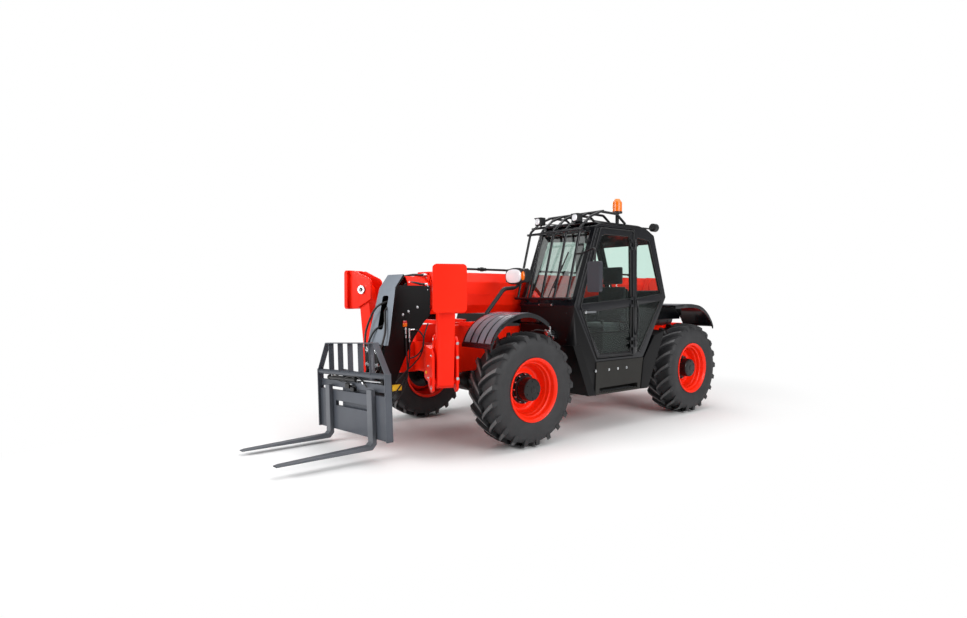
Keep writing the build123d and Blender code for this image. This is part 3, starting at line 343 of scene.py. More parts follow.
cadLooks = [  # nodes, finish, edge radius, slot where it is another than the finish's
    ("chassis_frame frame_left_plate frame_right_plate", "red", 0.004),
    ("stabiliser_box", "red", 0.005),
    ("counterweight", "red", 0.012),
    ("front_axle rear_axle", "blackSteel", 0.006),
    ("drive_shaft", "castGrey", 0.003),
    ("front_fenders rear_fenders", "black", 0.005),
    ("cab_frame", "black", 0.006),
    ("cab_roof", "black", 0.016),
    ("cab_nose", "deepBlack", 0.008),
    ("side_step", "satin", 0.006),
    ("cab_rear_panel", "deepBlack", 0.008),
    ("cab_guard", "black", 0.002),
    ("seat_base", "trim", 0.006),
    ("dashboard", "trim", 0.01),
    ("steering_wheel", "plastic", 0.002),
    ("engine_bay", "satin", 0.006),
    ("engine_block", "castGrey", 0.008),
    ("headlights work_lights", "plastic", 0.004),
    ("beacon", "amber", 0.004),
    ("left_mirror right_mirror", "mirrorGrey", 0.004),
    ("engine_hood", "satin", 0.014),
    ("cab_door", "black", 0.006),
    ("boom_outer", "red", 0.008),
    ("boom_middle boom_inner", "red", 0.006),
    ("boom_head", "deepBlack", 0.005, "black_steel"),
    ("lift_barrel", "blackSteel", 0.004),
    ("lift_rod", "chrome", 0.002),
    ("tilt_barrel", "blackSteel", 0.004),
    ("tilt_rod", "chrome", 0.002),
    ("hitch_plate", "forkSteel", 0.005),
    ("carriage", "forkSteel", 0.006),
    ("left_fork right_fork", "bladeSteel", 0.006),
    ("left_stabiliser_arm right_stabiliser_arm", "red", 0.012),
    ("left_stabiliser_shoe right_stabiliser_shoe", "red", 0.006),
    ("front_left_knuckle front_right_knuckle rear_left_knuckle rear_right_knuckle", "blackSteel", 0.004),
    ("cab_windows", ["glass", "screen"], 0),
    ("door_windows", "glass", 0),
]
for nodes, *look in cadLooks:
    for node in nodes.split():
        skin = cadCopy(node, *look)
        if node == "cab_windows":  # the windscreen mirrors more of the bright sky than the side panes
            for face in skin.data.polygons:
                face.material_index = int(abs(face.normal.y) > 0.8 and face.center.y < 0.4)
print("machine's plates rounded")


forward = Vector((0, -1, 0))
upward = Vector((0, 0, 1))


def ringOf(work, centre, across, up, radius, count, twist=0.0):
    ring = []
    for i in range(count):
        angle = twist + 2 * math.pi * i / count
        ring.append(work.verts.new(centre + across * (radius * math.cos(angle))
            + up * (radius * math.sin(angle))))
    return ring


def bridge(work, rings):
    for first, second in zip(rings, rings[1:]):
        for i in range(len(first)):
            j = (i + 1) % len(first)
            work.faces.new((first[i], first[j], second[j], second[i]))


def meshFrom(name, work, body, finish, smooth=34.0, slot=None):
    bmesh.ops.recalc_face_normals(work, faces=work.faces)
    mesh = bpy.data.meshes.new(name)
    work.to_mesh(mesh)
    work.free()
    return joinUp(name, mesh, body, finish, smooth, slot=slot)


def turned(name, profile, axle, outward, body, finish, turns=96, smooth=30.0):
    work = bmesh.new()
    rings = []
    for along, radius in profile:
        rings.append(ringOf(work, axle + Vector((outward * along, 0, 0)), forward, upward, radius, turns))
    bridge(work, rings)
    for ring, radius in ((rings[0], profile[0][1]), (rings[-1], profile[-1][1])):
        if 0 < radius < 0.2:
            work.faces.new(ring)
    return meshFrom(name, work, body, finish, smooth)


tyre = {"lugs": 21, "lean": 0.30, "crown": 0.600, "shoulder": 0.578, "floor": 0.552, "reach": 0.186,
    "base": 0.062, "top": 0.043, "stations": 9, "bevel": 0.004}


def crownRadius(x):
    return tyre["crown"] - (tyre["crown"] - tyre["shoulder"]) * (x / tyre["reach"]) ** 2.4


def lugTread(work, axle, outward):
    def spot(x, radius, angle):
        return work.verts.new((axle.x + outward * x, axle.y - radius * math.cos(angle),
            axle.z + radius * math.sin(angle)))
    for half in (-1, 1):
        for i in range(tyre["lugs"]):
            start = 2 * math.pi * (i + (0.5 if half > 0 else 0.0)) / tyre["lugs"]
            rows = []
            for k in range(tyre["stations"] + 1):
                s = k / tyre["stations"]
                x = -0.012 + (tyre["reach"] + 0.012) * s
                angle = start + tyre["lean"] * (s ** 0.82)
                high = crownRadius(max(x, 0.0))
                wide = tyre["base"] * (0.9 + 0.25 * s) / 2 / tyre["crown"]
                narrow = tyre["top"] * (0.9 + 0.3 * s) / 2 / tyre["crown"]
                foot = tyre["floor"] - 0.02
                rows.append([spot(half * x, foot, angle - wide), spot(half * x, high, angle - narrow),
                    spot(half * x, high, angle + narrow), spot(half * x, foot, angle + wide)])
            angle = start + tyre["lean"] * 1.03
            for drop, x in ((0.535, 0.196), (0.505, 0.197)):  # the lug's end steps down the sidewall
                wide = tyre["base"] * 1.15 / 2 / tyre["crown"]
                narrow = tyre["top"] * 1.2 / 2 / tyre["crown"]
                rows.append([spot(half * 0.17, drop - 0.01, angle - wide),
                    spot(half * x, drop, angle - narrow * 1.1), spot(half * x, drop, angle + narrow * 1.1),
                    spot(half * 0.17, drop - 0.01, angle + wide)])
            for count, (first, second) in enumerate(zip(rows, rows[1:])):
                for j in range(3):
                    face = work.faces.new((first[j], first[j + 1], second[j + 1], second[j]))
                    # material 1 on each lug's top face carries the painted highlight
                    face.material_index = 1 if j == 1 and count < tyre["stations"] else 0
            work.faces.new(rows[0])
            work.faces.new(rows[-1])


def tyreBody(work, axle, outward, turns=84):
    profile = [(0.172, 0.306), (0.178, 0.336), (0.184, 0.350), (0.190, 0.372), (0.1985, 0.42),
        (0.200, 0.452), (0.199, 0.482), (0.193, 0.512), (0.182, 0.535), (0.160, 0.548), (0.110, 0.554),
        (0.055, 0.557), (0.0, 0.558)]
    full = profile + [(-x, r) for x, r in reversed(profile[:-1])]
    rings = [ringOf(work, axle + Vector((outward * x, 0, 0)), forward, upward, r, turns) for x, r in full]
    bridge(work, rings + rings[:1])


def lugTyre(name, outward):
    low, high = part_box(name)
    axle = (low + high) / 2
    work = bmesh.new()
    tyreBody(work, axle, outward)
    lugTread(work, axle, outward)
    bmesh.ops.recalc_face_normals(work, faces=work.faces)
    edges = [e for e in work.edges if {f.material_index for f in e.link_faces} == {0, 1}]
    bmesh.ops.bevel(work, geom=edges, offset=tyre["bevel"], offset_type="OFFSET", segments=1, profile=0.6,
        affect="EDGES", clamp_overlap=True, material=0)
    made = meshFrom(name + "Tread", work, nodeBody[name], ["rubber", "lugTop"])
    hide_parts(name)
    return axle


def hexBolt(work, place, normal, radius, height, washer=True, sides=6, twist=0.0):
    normal = Vector(normal).normalized()
    helper = Vector((0, 0, 1)) if abs(normal.z) < 0.9 else Vector((1, 0, 0))
    across = normal.cross(helper).normalized()
    up = normal.cross(across).normalized()
    def disc(count, r0, z0, z1, cut):
        rings = []
        for r, z in ((r0, z0), (r0, z1 - cut), (r0 - cut, z1)):
            rings.append(ringOf(work, Vector(place) + normal * z, across, up, r, count, twist))
        bridge(work, rings)
        work.faces.new(rings[-1])
    if washer:
        disc(16, radius * 1.5, -0.002, height * 0.22, height * 0.06)
    disc(sides, radius, 0.0, height, height * 0.15)


def circle(centre, first, second, normal, radius, angles):
    first, second = radius * Vector(first), radius * Vector(second)
    return [(Vector(centre) + math.cos(a) * first + math.sin(a) * second, normal) for a in angles]


def boltSet(name, places, body, finish="steel", radius=0.012, height=0.012, washer=True, sides=6,
        slot=None):
    work = bmesh.new()
    for count, (place, normal) in enumerate(places):
        hexBolt(work, place, normal, radius, height, washer, sides, 0.4 * count)
    return meshFrom(name, work, body, finish, 30.0, slot=slot)


# places across the wheel and radii, from its inner side outwards
rimProfile = [(-0.190, 0.335), (-0.184, 0.338), (-0.178, 0.333), (-0.176, 0.308), (-0.12, 0.296),
    (-0.05, 0.286), (0.03, 0.284), (0.1, 0.292), (0.176, 0.308), (0.178, 0.333), (0.184, 0.3345),
    (0.190, 0.330), (0.1895, 0.322), (0.181, 0.314), (0.172, 0.302), (0.160, 0.297), (0.132, 0.2935),
    (0.122, 0.286), (0.118, 0.276), (0.088, 0.272), (0.078, 0.266), (0.070, 0.255), (0.012, 0.250),
    (-0.012, 0.240), (-0.022, 0.222), (-0.020, 0.200), (-0.006, 0.180), (0.004, 0.168), (0.004, 0.10)]
hubProfile = [(-0.01, 0.163), (0.012, 0.163), (0.018, 0.158), (0.018, 0.142), (0.044, 0.139),
    (0.050, 0.134), (0.050, 0.125), (0.132, 0.119), (0.146, 0.117), (0.153, 0.110), (0.156, 0.098),
    (0.158, 0.04)]


wheelBolts = [  # piece, count, turn, place across, radius, bolt
    ("Studs", 12, 0.0, 0.018, 0.151, {"radius": 0.0085, "height": 0.026, "washer": False,
        "slot": "dark_steel"}),
    ("CapBolts", 6, 0.5, 0.1565, 0.088, {"finish": "blackSteel", "radius": 0.007, "height": 0.006}),
]


def wheel(name, axle, outward):
    body = nodeBody[name]
    made = turned(name + "Rim", rimProfile, axle, outward, body, "rimRed", 112, 50.0)
    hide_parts(name)
    turned(name + "Hub", hubProfile, axle, outward, body, "blackSteel", 72)
    back = [(-0.03, 0.215), (-0.035, 0.20), (-0.035, 0.12), (-0.07, 0.12), (-0.07, 0.065)]
    turned(name + "Drum", back, axle, outward, body, "blackSteel", 48)
    for part, count, turn, out, radius, look in wheelBolts:
        centre = axle + Vector((outward * out, 0, 0))
        angles = [2 * math.pi * (i + turn) / count for i in range(count)]
        places = circle(centre, (0, 1, 0), (0, 0, 1), (outward, 0, 0), radius, angles)
        boltSet(name + part, places, body, **look)
    plug = [(0.157, 0.045), (0.160, 0.03), (0.163, 0.028), (0.164, 0.012)]
    turned(name + "Plug", plug, axle, outward, body, "blackSteel", 32)


for end in ("front", "rear"):
    for hand, outward in (("left", 1), ("right", -1)):
        axle = lugTyre(f"{end}_{hand}_tyre", outward)
        wheel(f"{end}_{hand}_wheel", axle, outward)
print("tyres and wheels made")

handOf = {1: "left", -1: "right"}
joints = {joint["name"]: joint for joint in frame["record"]["behaviour"]["joints"]}


def tubes(name, radius, routes, body, finish="hose", closed=False, straight=False):
    curve = bpy.data.curves.new(name + "Line", "CURVE")
    curve.dimensions = "3D"
    curve.bevel_depth = radius
    curve.bevel_resolution = 3
    curve.resolution_u = 6
    curve.use_fill_caps = not closed
    for route in routes:
        line = curve.splines.new("POLY" if closed or straight else "NURBS")
        line.points.add(len(route) - 1)
        for point, place in zip(line.points, route):
            point.co = (*place, 1.0)
        line.use_cyclic_u = closed
        if not closed and not straight:
            line.order_u = 3
            line.use_endpoint_u = True
    holder = bpy.data.objects.new(name + "Line", curve)
    mesh = bpy.data.meshes.new_from_object(holder)
    mesh.name = name
    mesh.materials.clear()
    bpy.data.objects.remove(holder)
    return joinUp(name, mesh, body, finish, 50.0)


def blocks(name, boxes, body, finish, edge=0.002, steps=2, slot=None):
    work = bmesh.new()
    for box in boxes:
        low, high = box[:2]
        turn = box[2] if len(box) > 2 else Matrix.Identity(3)
        size = Vector(high) - Vector(low)
        middle = (Vector(high) + Vector(low)) / 2
        place = Matrix.Translation(middle) @ turn.to_4x4() @ Matrix.Diagonal((*size, 1.0))
        bmesh.ops.create_cube(work, size=1.0, matrix=place)
    if edge:
        bmesh.ops.bevel(work, geom=list(work.edges), offset=edge, offset_type="OFFSET", segments=steps,
            profile=0.6, affect="EDGES", clamp_overlap=True)
    return meshFrom(name, work, body, finish, slot=slot)


def drums(name, spots, body, finish, count=28, soften=0.15, slot=None):
    work = bmesh.new()
    for start, end, radius in spots:
        start, end = Vector(start), Vector(end)
        run = (end - start).normalized()
        across = run.orthogonal().normalized()
        up = run.cross(across)
        cut = radius * soften
        rings = []
        for base, reach in ((start, radius - cut), (start + run * cut, radius), (end - run * cut, radius),
                            (end, radius - cut)):
            rings.append(ringOf(work, base, across, up, reach, count))
        bridge(work, rings)
        work.faces.new(rings[0])
        work.faces.new(rings[-1])
    return meshFrom(name, work, body, finish, slot=slot)


def twoTone(node, finish, test):
    mesh = bpy.data.objects[node + "Skin"].data
    mesh.materials.append(finishes[finish].material)
    for face in mesh.polygons:
        if test(face.center, face.normal):
            face.material_index = 1


# front-facing and front top-slope faces of the black head, picked by their normal, get painted light in
# grey
def paintedLitFace(centre, normal):
    inBand = centre.z > 1.055 and abs(centre.x) < 0.225
    return inBand and normal.y < -0.4 and (centre.z > 1.64 or normal.z < 0.4)


twoTone("boom_head", "headGrey", paintedLitFace)
twoTone("beacon", "plastic", lambda c, n: c.z < 2.613)
twoTone("left_mirror", "plastic", lambda c, n: c.z > 1.94 or c.x < 1.3)
twoTone("right_mirror", "plastic", lambda c, n: c.z > 1.602 or c.x > -1.3)


def paneEdges(node, smallest=0.05):
    work = bmesh.new()
    work.from_mesh(frame["nodes"][node].data)
    bmesh.ops.remove_doubles(work, verts=work.verts, dist=weldGap)
    bmesh.ops.dissolve_limit(work, angle_limit=flatAngle, verts=work.verts, edges=work.edges)
    loops = [[vertex.co.copy() for vertex in face.verts]
        for face in work.faces if face.calc_area() > smallest]
    work.free()
    return loops


for node in ("cab_windows", "door_windows"):
    tubes(node + "Seals", 0.011, paneEdges(node), nodeBody[node], "seal", closed=True)
print("two-tone parts and seals made")

# the gooseneck: hoses out of its slot and along its left side, fittings, reflector and plate
head = nodeBody["boom_head"]
neckSide = 0.166


def beside(points):
    return [(neckSide + out, y, z) for out, y, z in points]


slotHoses = [[(0.01, -1.70, 1.53), (0.03, -1.83, 1.505), (-0.06, -1.885, 1.45), (-0.15, -1.90, 1.33),
    (-0.20, -1.93, 1.19), (-0.17, -1.955, 1.04), (-0.13, -1.95, 0.84)],
    [(0.04, -1.70, 1.50), (0.07, -1.84, 1.455), (0.10, -1.86, 1.35), (0.16, -1.885, 1.22),
    (0.185, -1.93, 1.10), (0.14, -1.955, 0.98), (0.10, -1.95, 0.84)],
    [(-0.02, -1.76, 1.26), (-0.05, -1.875, 1.24), (-0.11, -1.905, 1.15), (-0.14, -1.94, 1.05),
    (-0.10, -1.955, 0.95), (-0.095, -1.95, 0.84)]]
tubes("slotHoses", 0.0115, slotHoses, head)
bundleX = (-0.125, -0.10, -0.075, 0.065, 0.09, 0.115)
bundle = []
for x in bundleX:
    bundle.append([(x, -1.935, 1.06), (x + 0.006, -1.962, 0.98), (x - 0.004, -1.966, 0.90),
        (x, -1.955, 0.80)])
tubes("hoseBundle", 0.0095, bundle, head)
blocks("hoseRail", [((-0.15, -1.95, 1.035), (0.14, -1.93, 1.055)),
    ((-0.15, -1.952, 0.815), (0.14, -1.925, 0.833))], head, "blackSteel")
bundleFittings = []
for i, x in enumerate(bundleX):
    bundleFittings.append(((x, -1.95, 1.03 - 0.012 * (i % 3)), (x, -1.958, 0.985 - 0.012 * (i % 3)),
        0.0125))
    bundleFittings.append(((x, -1.963, 0.862 + 0.01 * (i % 2)), (x, -1.96, 0.83 + 0.01 * (i % 2)), 0.0125))
drums("bundleFittings", bundleFittings, head, "steel", 16)

sideHoses = [[(0.012, -1.657, 1.18), (0.014, -1.655, 1.10), (0.02, -1.648, 0.94), (0.02, -1.632, 0.71),
    (0.02, -1.70, 0.545), (0.015, -1.80, 0.455), (0.01, -1.87, 0.43)],
    [(0.012, -1.613, 1.13), (0.014, -1.608, 1.05), (0.018, -1.615, 0.90), (0.02, -1.64, 0.74),
    (0.014, -1.74, 0.60), (0.01, -1.84, 0.50)],
    [(0.012, -1.60, 1.213), (0.018, -1.545, 1.212), (0.018, -1.487, 1.193), (0.018, -1.432, 1.129),
    (0.018, -1.437, 1.02), (0.018, -1.505, 0.939), (0.016, -1.56, 0.915), (0.03, -1.61, 0.91)],
    [(0.005, -1.37, 1.27), (0.015, -1.40, 1.215), (0.02, -1.435, 1.129), (0.02, -1.45, 0.96),
    (0.02, -1.54, 0.86), (0.02, -1.68, 0.76), (0.01, -1.775, 0.67)]]
tubes("sideHoses", 0.008, [beside(route) for route in sideHoses], head)
sideFittings = [((0.012, -1.657, 1.232), (0.012, -1.656, 1.165), 0.0125),
    ((0.012, -1.613, 1.222), (0.012, -1.611, 1.12), 0.0125),
    ((0.012, -1.655, 1.155), (0.013, -1.654, 1.125), 0.0105),
    ((0.013, -1.611, 1.11), (0.014, -1.61, 1.08), 0.0105),
    ((0.012, -1.613, 1.213), (0.016, -1.55, 1.213), 0.009),
    ((-0.004, -1.657, 1.222), (0.014, -1.657, 1.222), 0.014),
    ((-0.004, -1.613, 1.213), (0.014, -1.613, 1.213), 0.014)]
drums("sideFittings", [(*beside(ends), radius) for *ends, radius in sideFittings], head, "steel", 18)
blocks("reflectorRed", [beside(((-0.002, -1.687, 1.284), (0.008, -1.637, 1.309)))], head, "redLens", 0.003)
blocks("reflectorAmber", [beside(((-0.002, -1.687, 1.246), (0.01, -1.637, 1.284)))], head, "amber", 0.003)
neckBolts = [((side * (neckSide - 0.003), y, z), (side, 0, 0)) for side in (1, -1)
    for y, z in ((-1.68, 1.375), (-1.613, 1.407))]
boltSet("neckBolts", neckBolts + [((neckSide - 0.003, -1.50, 1.45), (1, 0, 0))], head, radius=0.0095,
    height=0.012, slot="dark_steel")
blocks("signPlate", [beside(((0.004, -1.82, 0.578), (0.012, -1.705, 0.642)))], head, "yellow", 0.002)
blocks("signBracket", [beside(((-0.012, -1.83, 0.60), (0.004, -1.715, 0.64)))], head, "blackSteel", 0.002)
boltSet("signRivets", [((neckSide + 0.012, y, z), (1, 0, 0)) for y in (-1.812, -1.713)
    for z in (0.586, 0.634)], head, "blackSteel", 0.003, 0.002, False, 8)

# recess over the neck: hoses, fittings and lugs at the inner boom's end
recess = [[(-0.07, -1.66, 1.70), (-0.05, -1.60, 1.775), (0.0, -1.50, 1.80), (0.05, -1.42, 1.802),
    (0.06, -1.345, 1.80)], [(0.0, -1.68, 1.69), (0.02, -1.62, 1.765), (0.06, -1.52, 1.802),
    (0.09, -1.43, 1.804), (0.10, -1.345, 1.80)],
    [(0.10, -1.63, 1.68), (0.12, -1.58, 1.72), (0.13, -1.50, 1.715), (0.14, -1.43, 1.70),
    (0.145, -1.37, 1.70)]]
tubes("recessHoses", 0.0115, recess, head)
drums("recessFittings", [((0.06, -1.345, 1.80), (0.06, -1.385, 1.801), 0.016),
    ((0.10, -1.345, 1.80), (0.10, -1.39, 1.803), 0.016),
    ((0.12, -1.60, 1.70), (0.12, -1.575, 1.722), 0.013),
    ((0.145, -1.36, 1.70), (0.143, -1.40, 1.70), 0.014)], head, "steel", 18)
blocks("endLugs", [((0.10, -1.352, 1.735), (0.135, -1.322, 1.80)),
    ((-0.135, -1.352, 1.735), (-0.10, -1.322, 1.80)), ((0.143, -1.40, 1.62), (0.158, -1.34, 1.70))], head,
    "red", 0.004)
boltSet("endBolts", [((0.158, -1.37, z), (1, 0, 0)) for z in (1.64, 1.68)]
    + [((x, -1.352, 1.77), (0, -1, 0)) for x in (-0.117, 0.117)], head, radius=0.008, height=0.01,
    slot="dark_steel")
blocks("recessPlate", [((-0.145, -1.70, 1.60), (0.145, -1.45, 1.612))], head, "blackSteel", 0.003)
print("gooseneck dressed")

# carriage: side-shift cylinder, its hoses, fittings and valve blocks
carriage = nodeBody["carriage"]
rollAngle = math.atan2(joints["left_fork_slide"]["axis"][2], joints["left_fork_slide"]["axis"][0])
swayPin = joints["carriage_sway"]["pos_m"]


def rolled(points):
    c, s = math.cos(rollAngle), math.sin(rollAngle)
    return [(x * c - (z - swayPin[2]) * s, y, swayPin[2] + x * s + (z - swayPin[2]) * c)
        for x, y, z in points]


shiftY, shiftZ = -2.186, 0.715
shiftBarrel = [((-0.50, shiftY, shiftZ), (0.10, shiftY, shiftZ), 0.024),
    ((0.10, shiftY, shiftZ), (0.125, shiftY, shiftZ), 0.028),
    ((-0.53, shiftY, shiftZ), (-0.49, shiftY, shiftZ), 0.028),
    ((0.66, shiftY, shiftZ), (0.70, shiftY, shiftZ), 0.026)]
drums("shiftBarrel", [(*rolled(ends), radius) for *ends, radius in shiftBarrel], carriage, "blackSteel")
drums("shiftRod", [(*rolled([(0.12, shiftY, shiftZ), (0.67, shiftY, shiftZ)]), 0.0105)], carriage, "chrome",
    24)
shiftHoses = [[(-0.44, -2.19, 0.74), (-0.42, -2.205, 0.765), (-0.30, -2.205, 0.752), (-0.12, -2.20, 0.69),
    (0.02, -2.195, 0.66), (0.10, -2.18, 0.64)],
    [(0.06, -2.19, 0.74), (0.09, -2.205, 0.757), (0.20, -2.205, 0.752), (0.31, -2.20, 0.69),
    (0.34, -2.19, 0.655)], [(-0.30, -2.19, 0.70), (-0.22, -2.206, 0.67), (-0.05, -2.206, 0.745),
    (0.08, -2.20, 0.752), (0.16, -2.185, 0.69)]]
tubes("shiftHoses", 0.0075, [rolled(route) for route in shiftHoses], carriage)
shiftFittings = [((-0.44, -2.19, 0.73), (-0.44, -2.19, 0.752), 0.012),
    ((0.06, -2.19, 0.73), (0.06, -2.19, 0.752), 0.012),
    ((0.02, -2.20, 0.668), (0.055, -2.20, 0.668), 0.011),
    ((0.28, -2.203, 0.70), (0.30, -2.203, 0.68), 0.011)]
drums("shiftFittings", [(*rolled(ends), radius) for *ends, radius in shiftFittings], carriage, "steel", 16)
shiftBlocks = [((-0.10, -2.21, 0.625), (-0.01, -2.17, 0.665)),
    ((0.02, -2.212, 0.60), (0.10, -2.175, 0.635))]
blocks("shiftBlocks", [rolled(box) for box in shiftBlocks], carriage, "blackSteel", 0.003)
print("carriage dressed")


def armSpot(side, out, along, up):
    joint = joints[handOf[side] + "_stabiliser_swing"]
    across = abs(joint["axis"][0])
    depth = abs(joint["axis"][1])
    x, y, z = joint["pos_m"]
    return (x + side * (out * depth + along * across), y - out * across + along * depth, z + up)


def armWay(side, out, along):
    start = Vector(armSpot(side, 0, 0, 0))
    return tuple(Vector(armSpot(side, out, along, 0)) - start)


stand = {"ear": 0.115, "cheek": 0.135, "shoeOut": 0.0972, "shoeUp": 0.925, "ring": 0.052, "pin": 0.026,
         "cheekBolts": ((0.045, 0.262), (-0.17, 0.135), (-0.14, 0.02), (0.05, -0.06)),
         "edgeBolts": ((0.071, 0.03), (0.0625, 0.24), (0.0565, 0.38))}
for hand, side in (("left", 1), ("right", -1)):
    rings = []
    darks = []
    bolts = []
    for face in (-1, 1):
        out, up = stand["shoeOut"], stand["shoeUp"]
        base = face * stand["ear"]
        start = armSpot(side, out, base, up)
        rings.append((start, armSpot(side, out, base + face * 0.017, up), stand["ring"]))
        darks.append((start, armSpot(side, out, base + face * 0.0185, up), stand["pin"]))
        bolts.append((armSpot(side, out + 0.006, base + face * 0.018, up - 0.004), armWay(side, 0, face)))
    drums(hand + "ShoeRings", rings, hand + "_shoe", "steel", 40, 0.06)
    drums(hand + "ShoePins", darks, hand + "_shoe", "blackSteel", 28, 0.06)
    boltSet(hand + "ShoeBolts", bolts, hand + "_shoe", radius=0.008, height=0.004, washer=False,
        slot="dark_steel")
    front = -stand["cheek"]
    cheek = [(armSpot(side, out, front, up), armWay(side, 0, -1)) for out, up in stand["cheekBolts"]]
    edge = [(armSpot(side, out, 0.1225, up), armWay(side, 1, 0)) for out, up in stand["edgeBolts"]]
    boltSet(hand + "CheekBolts", cheek, "chassis", radius=0.0095, height=0.012, slot="dark_steel")
    boltSet(hand + "EdgeBolts", edge, "chassis", radius=0.0105, height=0.012, slot="dark_steel")
    drums(hand + "ArmPins", [(armSpot(side, 0, front + 0.002, 0), armSpot(side, 0, front - 0.019, 0),
        0.044)], "chassis", "red", 36, 0.08)
    drums(hand + "BrassPlugs", [(armSpot(side, -0.285, front + 0.002, 0.056),
        armSpot(side, -0.285, front - 0.012, 0.056), 0.016)], "chassis", "yellow", 18, slot="amber_lens")
    drums(hand + "LugPins", [(armSpot(side, -0.14, -0.098, 0.41), armSpot(side, -0.14, -0.06, 0.41),
        0.018)], "chassis", "steel", 20)
print("stabilisers dressed")

# boom: fold lines, the pipes along its top with clamps and unions, bolts, pivot caps
outerBoom = nodeBody["boom_outer"]
pipeZ = 1.885
blocks("foldBeads", [((x, -1.31, 1.586), (x + 0.0035, 2.40, 1.592)) for x in (0.193, -0.1965)], outerBoom,
    "red", 0.001, 1)
tubes("topPipes", 0.0125, [[(0.10, -1.18, pipeZ), (0.10, -0.15, pipeZ), (0.10, 0.5, pipeZ),
    (0.10, 2.3, pipeZ), (0.10, 2.42, 1.86), (0.10, 2.45, 1.80)],
    [(0.06, -1.18, pipeZ), (0.06, 2.25, pipeZ), (0.06, 2.36, 1.86), (0.06, 2.38, 1.80)]], outerBoom,
    "blackSteel", straight=True)
clamps = [((0.04, y - 0.02, 1.838), (0.12, y + 0.02, 1.902)) for y in (-1.05, -0.10, 0.9, 1.9)]
blocks("pipeClamps", clamps, outerBoom, "plastic", 0.004)
drums("pipeUnions", [((0.10, -0.62, pipeZ), (0.10, -0.50, pipeZ), 0.02),
    ((0.10, -0.58, pipeZ), (0.10, -0.54, pipeZ), 0.026)], outerBoom, "blackSteel", 12)
for side in (-1, 1):
    boltSet(handOf[side] + "BoomBolts",
        [((side * 0.1945, y, z), (side, 0, 0)) for y in (-1.27, -1.17) for z in (1.52, 1.66)], outerBoom,
        radius=0.0095, height=0.01, slot="dark_steel")
pivotY, pivotZ = joints["boom_lift"]["pos_m"][1:]
for side in (-1, 1):
    hand = handOf[side]
    capX = 0.231 * side
    drums(hand + "PivotCap", [((capX, pivotY, pivotZ), (capX + side * 0.014, pivotY, pivotZ), 0.06)],
        "chassis", "steel", 40, 0.08)
    bolts = circle((capX + side * 0.01, pivotY, pivotZ), (0, 1, 0), (0, 0, 1), (side, 0, 0), 0.035,
        (0, 2.1, 4.2))
    boltSet(hand + "PivotBolts", bolts, "chassis", "blackSteel", 0.007, 0.01)
print("boom dressed")


# lamps: oval headlights with an indicator, work lights, rear lamps
ovalPower = 2 / 2.6  # squarer than an ellipse


def lensDisc(name, spots, body, finish, count=44):
    work = bmesh.new()
    for centre, wide, high, depth, facing in spots:
        rings = []
        for share, lift in ((1.0, 0.0), (1.0, 0.45), (0.93, 0.8), (0.7, 0.94), (0.35, 1.0)):
            ring = []
            for i in range(count):
                angle = 2 * math.pi * i / count
                c, s = math.cos(angle), math.sin(angle)
                dx = wide * share * math.copysign(abs(c) ** ovalPower, c)
                dz = high * share * math.copysign(abs(s) ** ovalPower, s)
                ring.append(work.verts.new((centre[0] + dx, centre[1] + facing * depth * lift,
                    centre[2] + dz)))
            rings.append(ring)
        bridge(work, rings)
        work.faces.new(rings[-1])
        work.faces.new(rings[0])
    return meshFrom(name, work, body, finish, 40.0)


lampX, lampY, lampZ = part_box("headlights")[1].x - 0.16, -0.455, 1.795
for side in (-1, 1):
    hand = handOf[side]
    sleeve = [(side * 0.67, -0.97, 1.300), (side * 0.67, -0.97, 1.342), (side * 0.6697, -0.951, 1.390),
        (side * 0.6663, -0.724, 1.630), (side * 0.6608, -0.678, 1.6515), (side * 0.635, -0.540, 1.6604)]
    tubes(hand + "LampSleeve", 0.023, [sleeve], "chassis", "plastic", straight=True)
lensDisc("headShells", [((side * lampX, lampY + 0.012, lampZ), 0.172, 0.094, 0.014, -1)
    for side in (-1, 1)], "chassis", "plastic")
lensDisc("headLenses", [((side * (lampX - 0.022), lampY - 0.001, lampZ), 0.128, 0.077, 0.014, -1)
    for side in (-1, 1)], "chassis", "whiteLens")
lensDisc("headIndicators", [((side * (lampX + 0.133), lampY + 0.001, lampZ), 0.026, 0.05, 0.012, -1)
    for side in (-1, 1)], "chassis", "amber")
workSpots = ((0.370, 2.473), (0.972, 2.462))
lensDisc("workLenses", [((x, 0.0895, z), 0.037, 0.037, 0.006, -1) for x, z in workSpots], "chassis",
    "whiteLens", 36)
blocks("workHoods", [((x - 0.048, 0.078, z + 0.036), (x + 0.048, 0.12, z + 0.046)) for x, z in workSpots],
    "chassis", "plastic", 0.003)
lensDisc("rearWorkLens", [((1.05, 1.530, 2.44), 0.041, 0.041, 0.008, 1)], "chassis", "whiteLens", 36)
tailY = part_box("counterweight")[1].y - 0.075  # the jaw stands behind the plate
lensDisc("tailLamps", [((side * 0.52, tailY - 0.004, 0.98), 0.05, 0.05, 0.016, 1) for side in (-1, 1)],
    "chassis", "redLens", 36)
lensDisc("tailIndicators", [((side * 0.40, tailY - 0.004, 0.98), 0.04, 0.04, 0.016, 1) for side in (-1, 1)],
    "chassis", "amber", 36)
blocks("platePanel", [((-0.26, tailY - 0.002, 0.90), (0.26, tailY + 0.006, 1.02))], "chassis", "plastic",
    0.003)
blocks("rearFlashes", [((side * 0.585 - 0.03, tailY - 0.002, 0.70),
    (side * 0.585 + 0.03, tailY + 0.005, 0.78)) for side in (-1, 1)], "chassis", "redLens", 0.002)
beaconSpot = (0.90, 0.945)
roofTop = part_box("cab_roof")[1].z
drums("beaconBase", [((*beaconSpot, roofTop), (*beaconSpot, roofTop + 0.015), 0.05),
    ((*beaconSpot, 2.588), (*beaconSpot, 2.614), 0.0625)], "chassis", "plastic", 40)
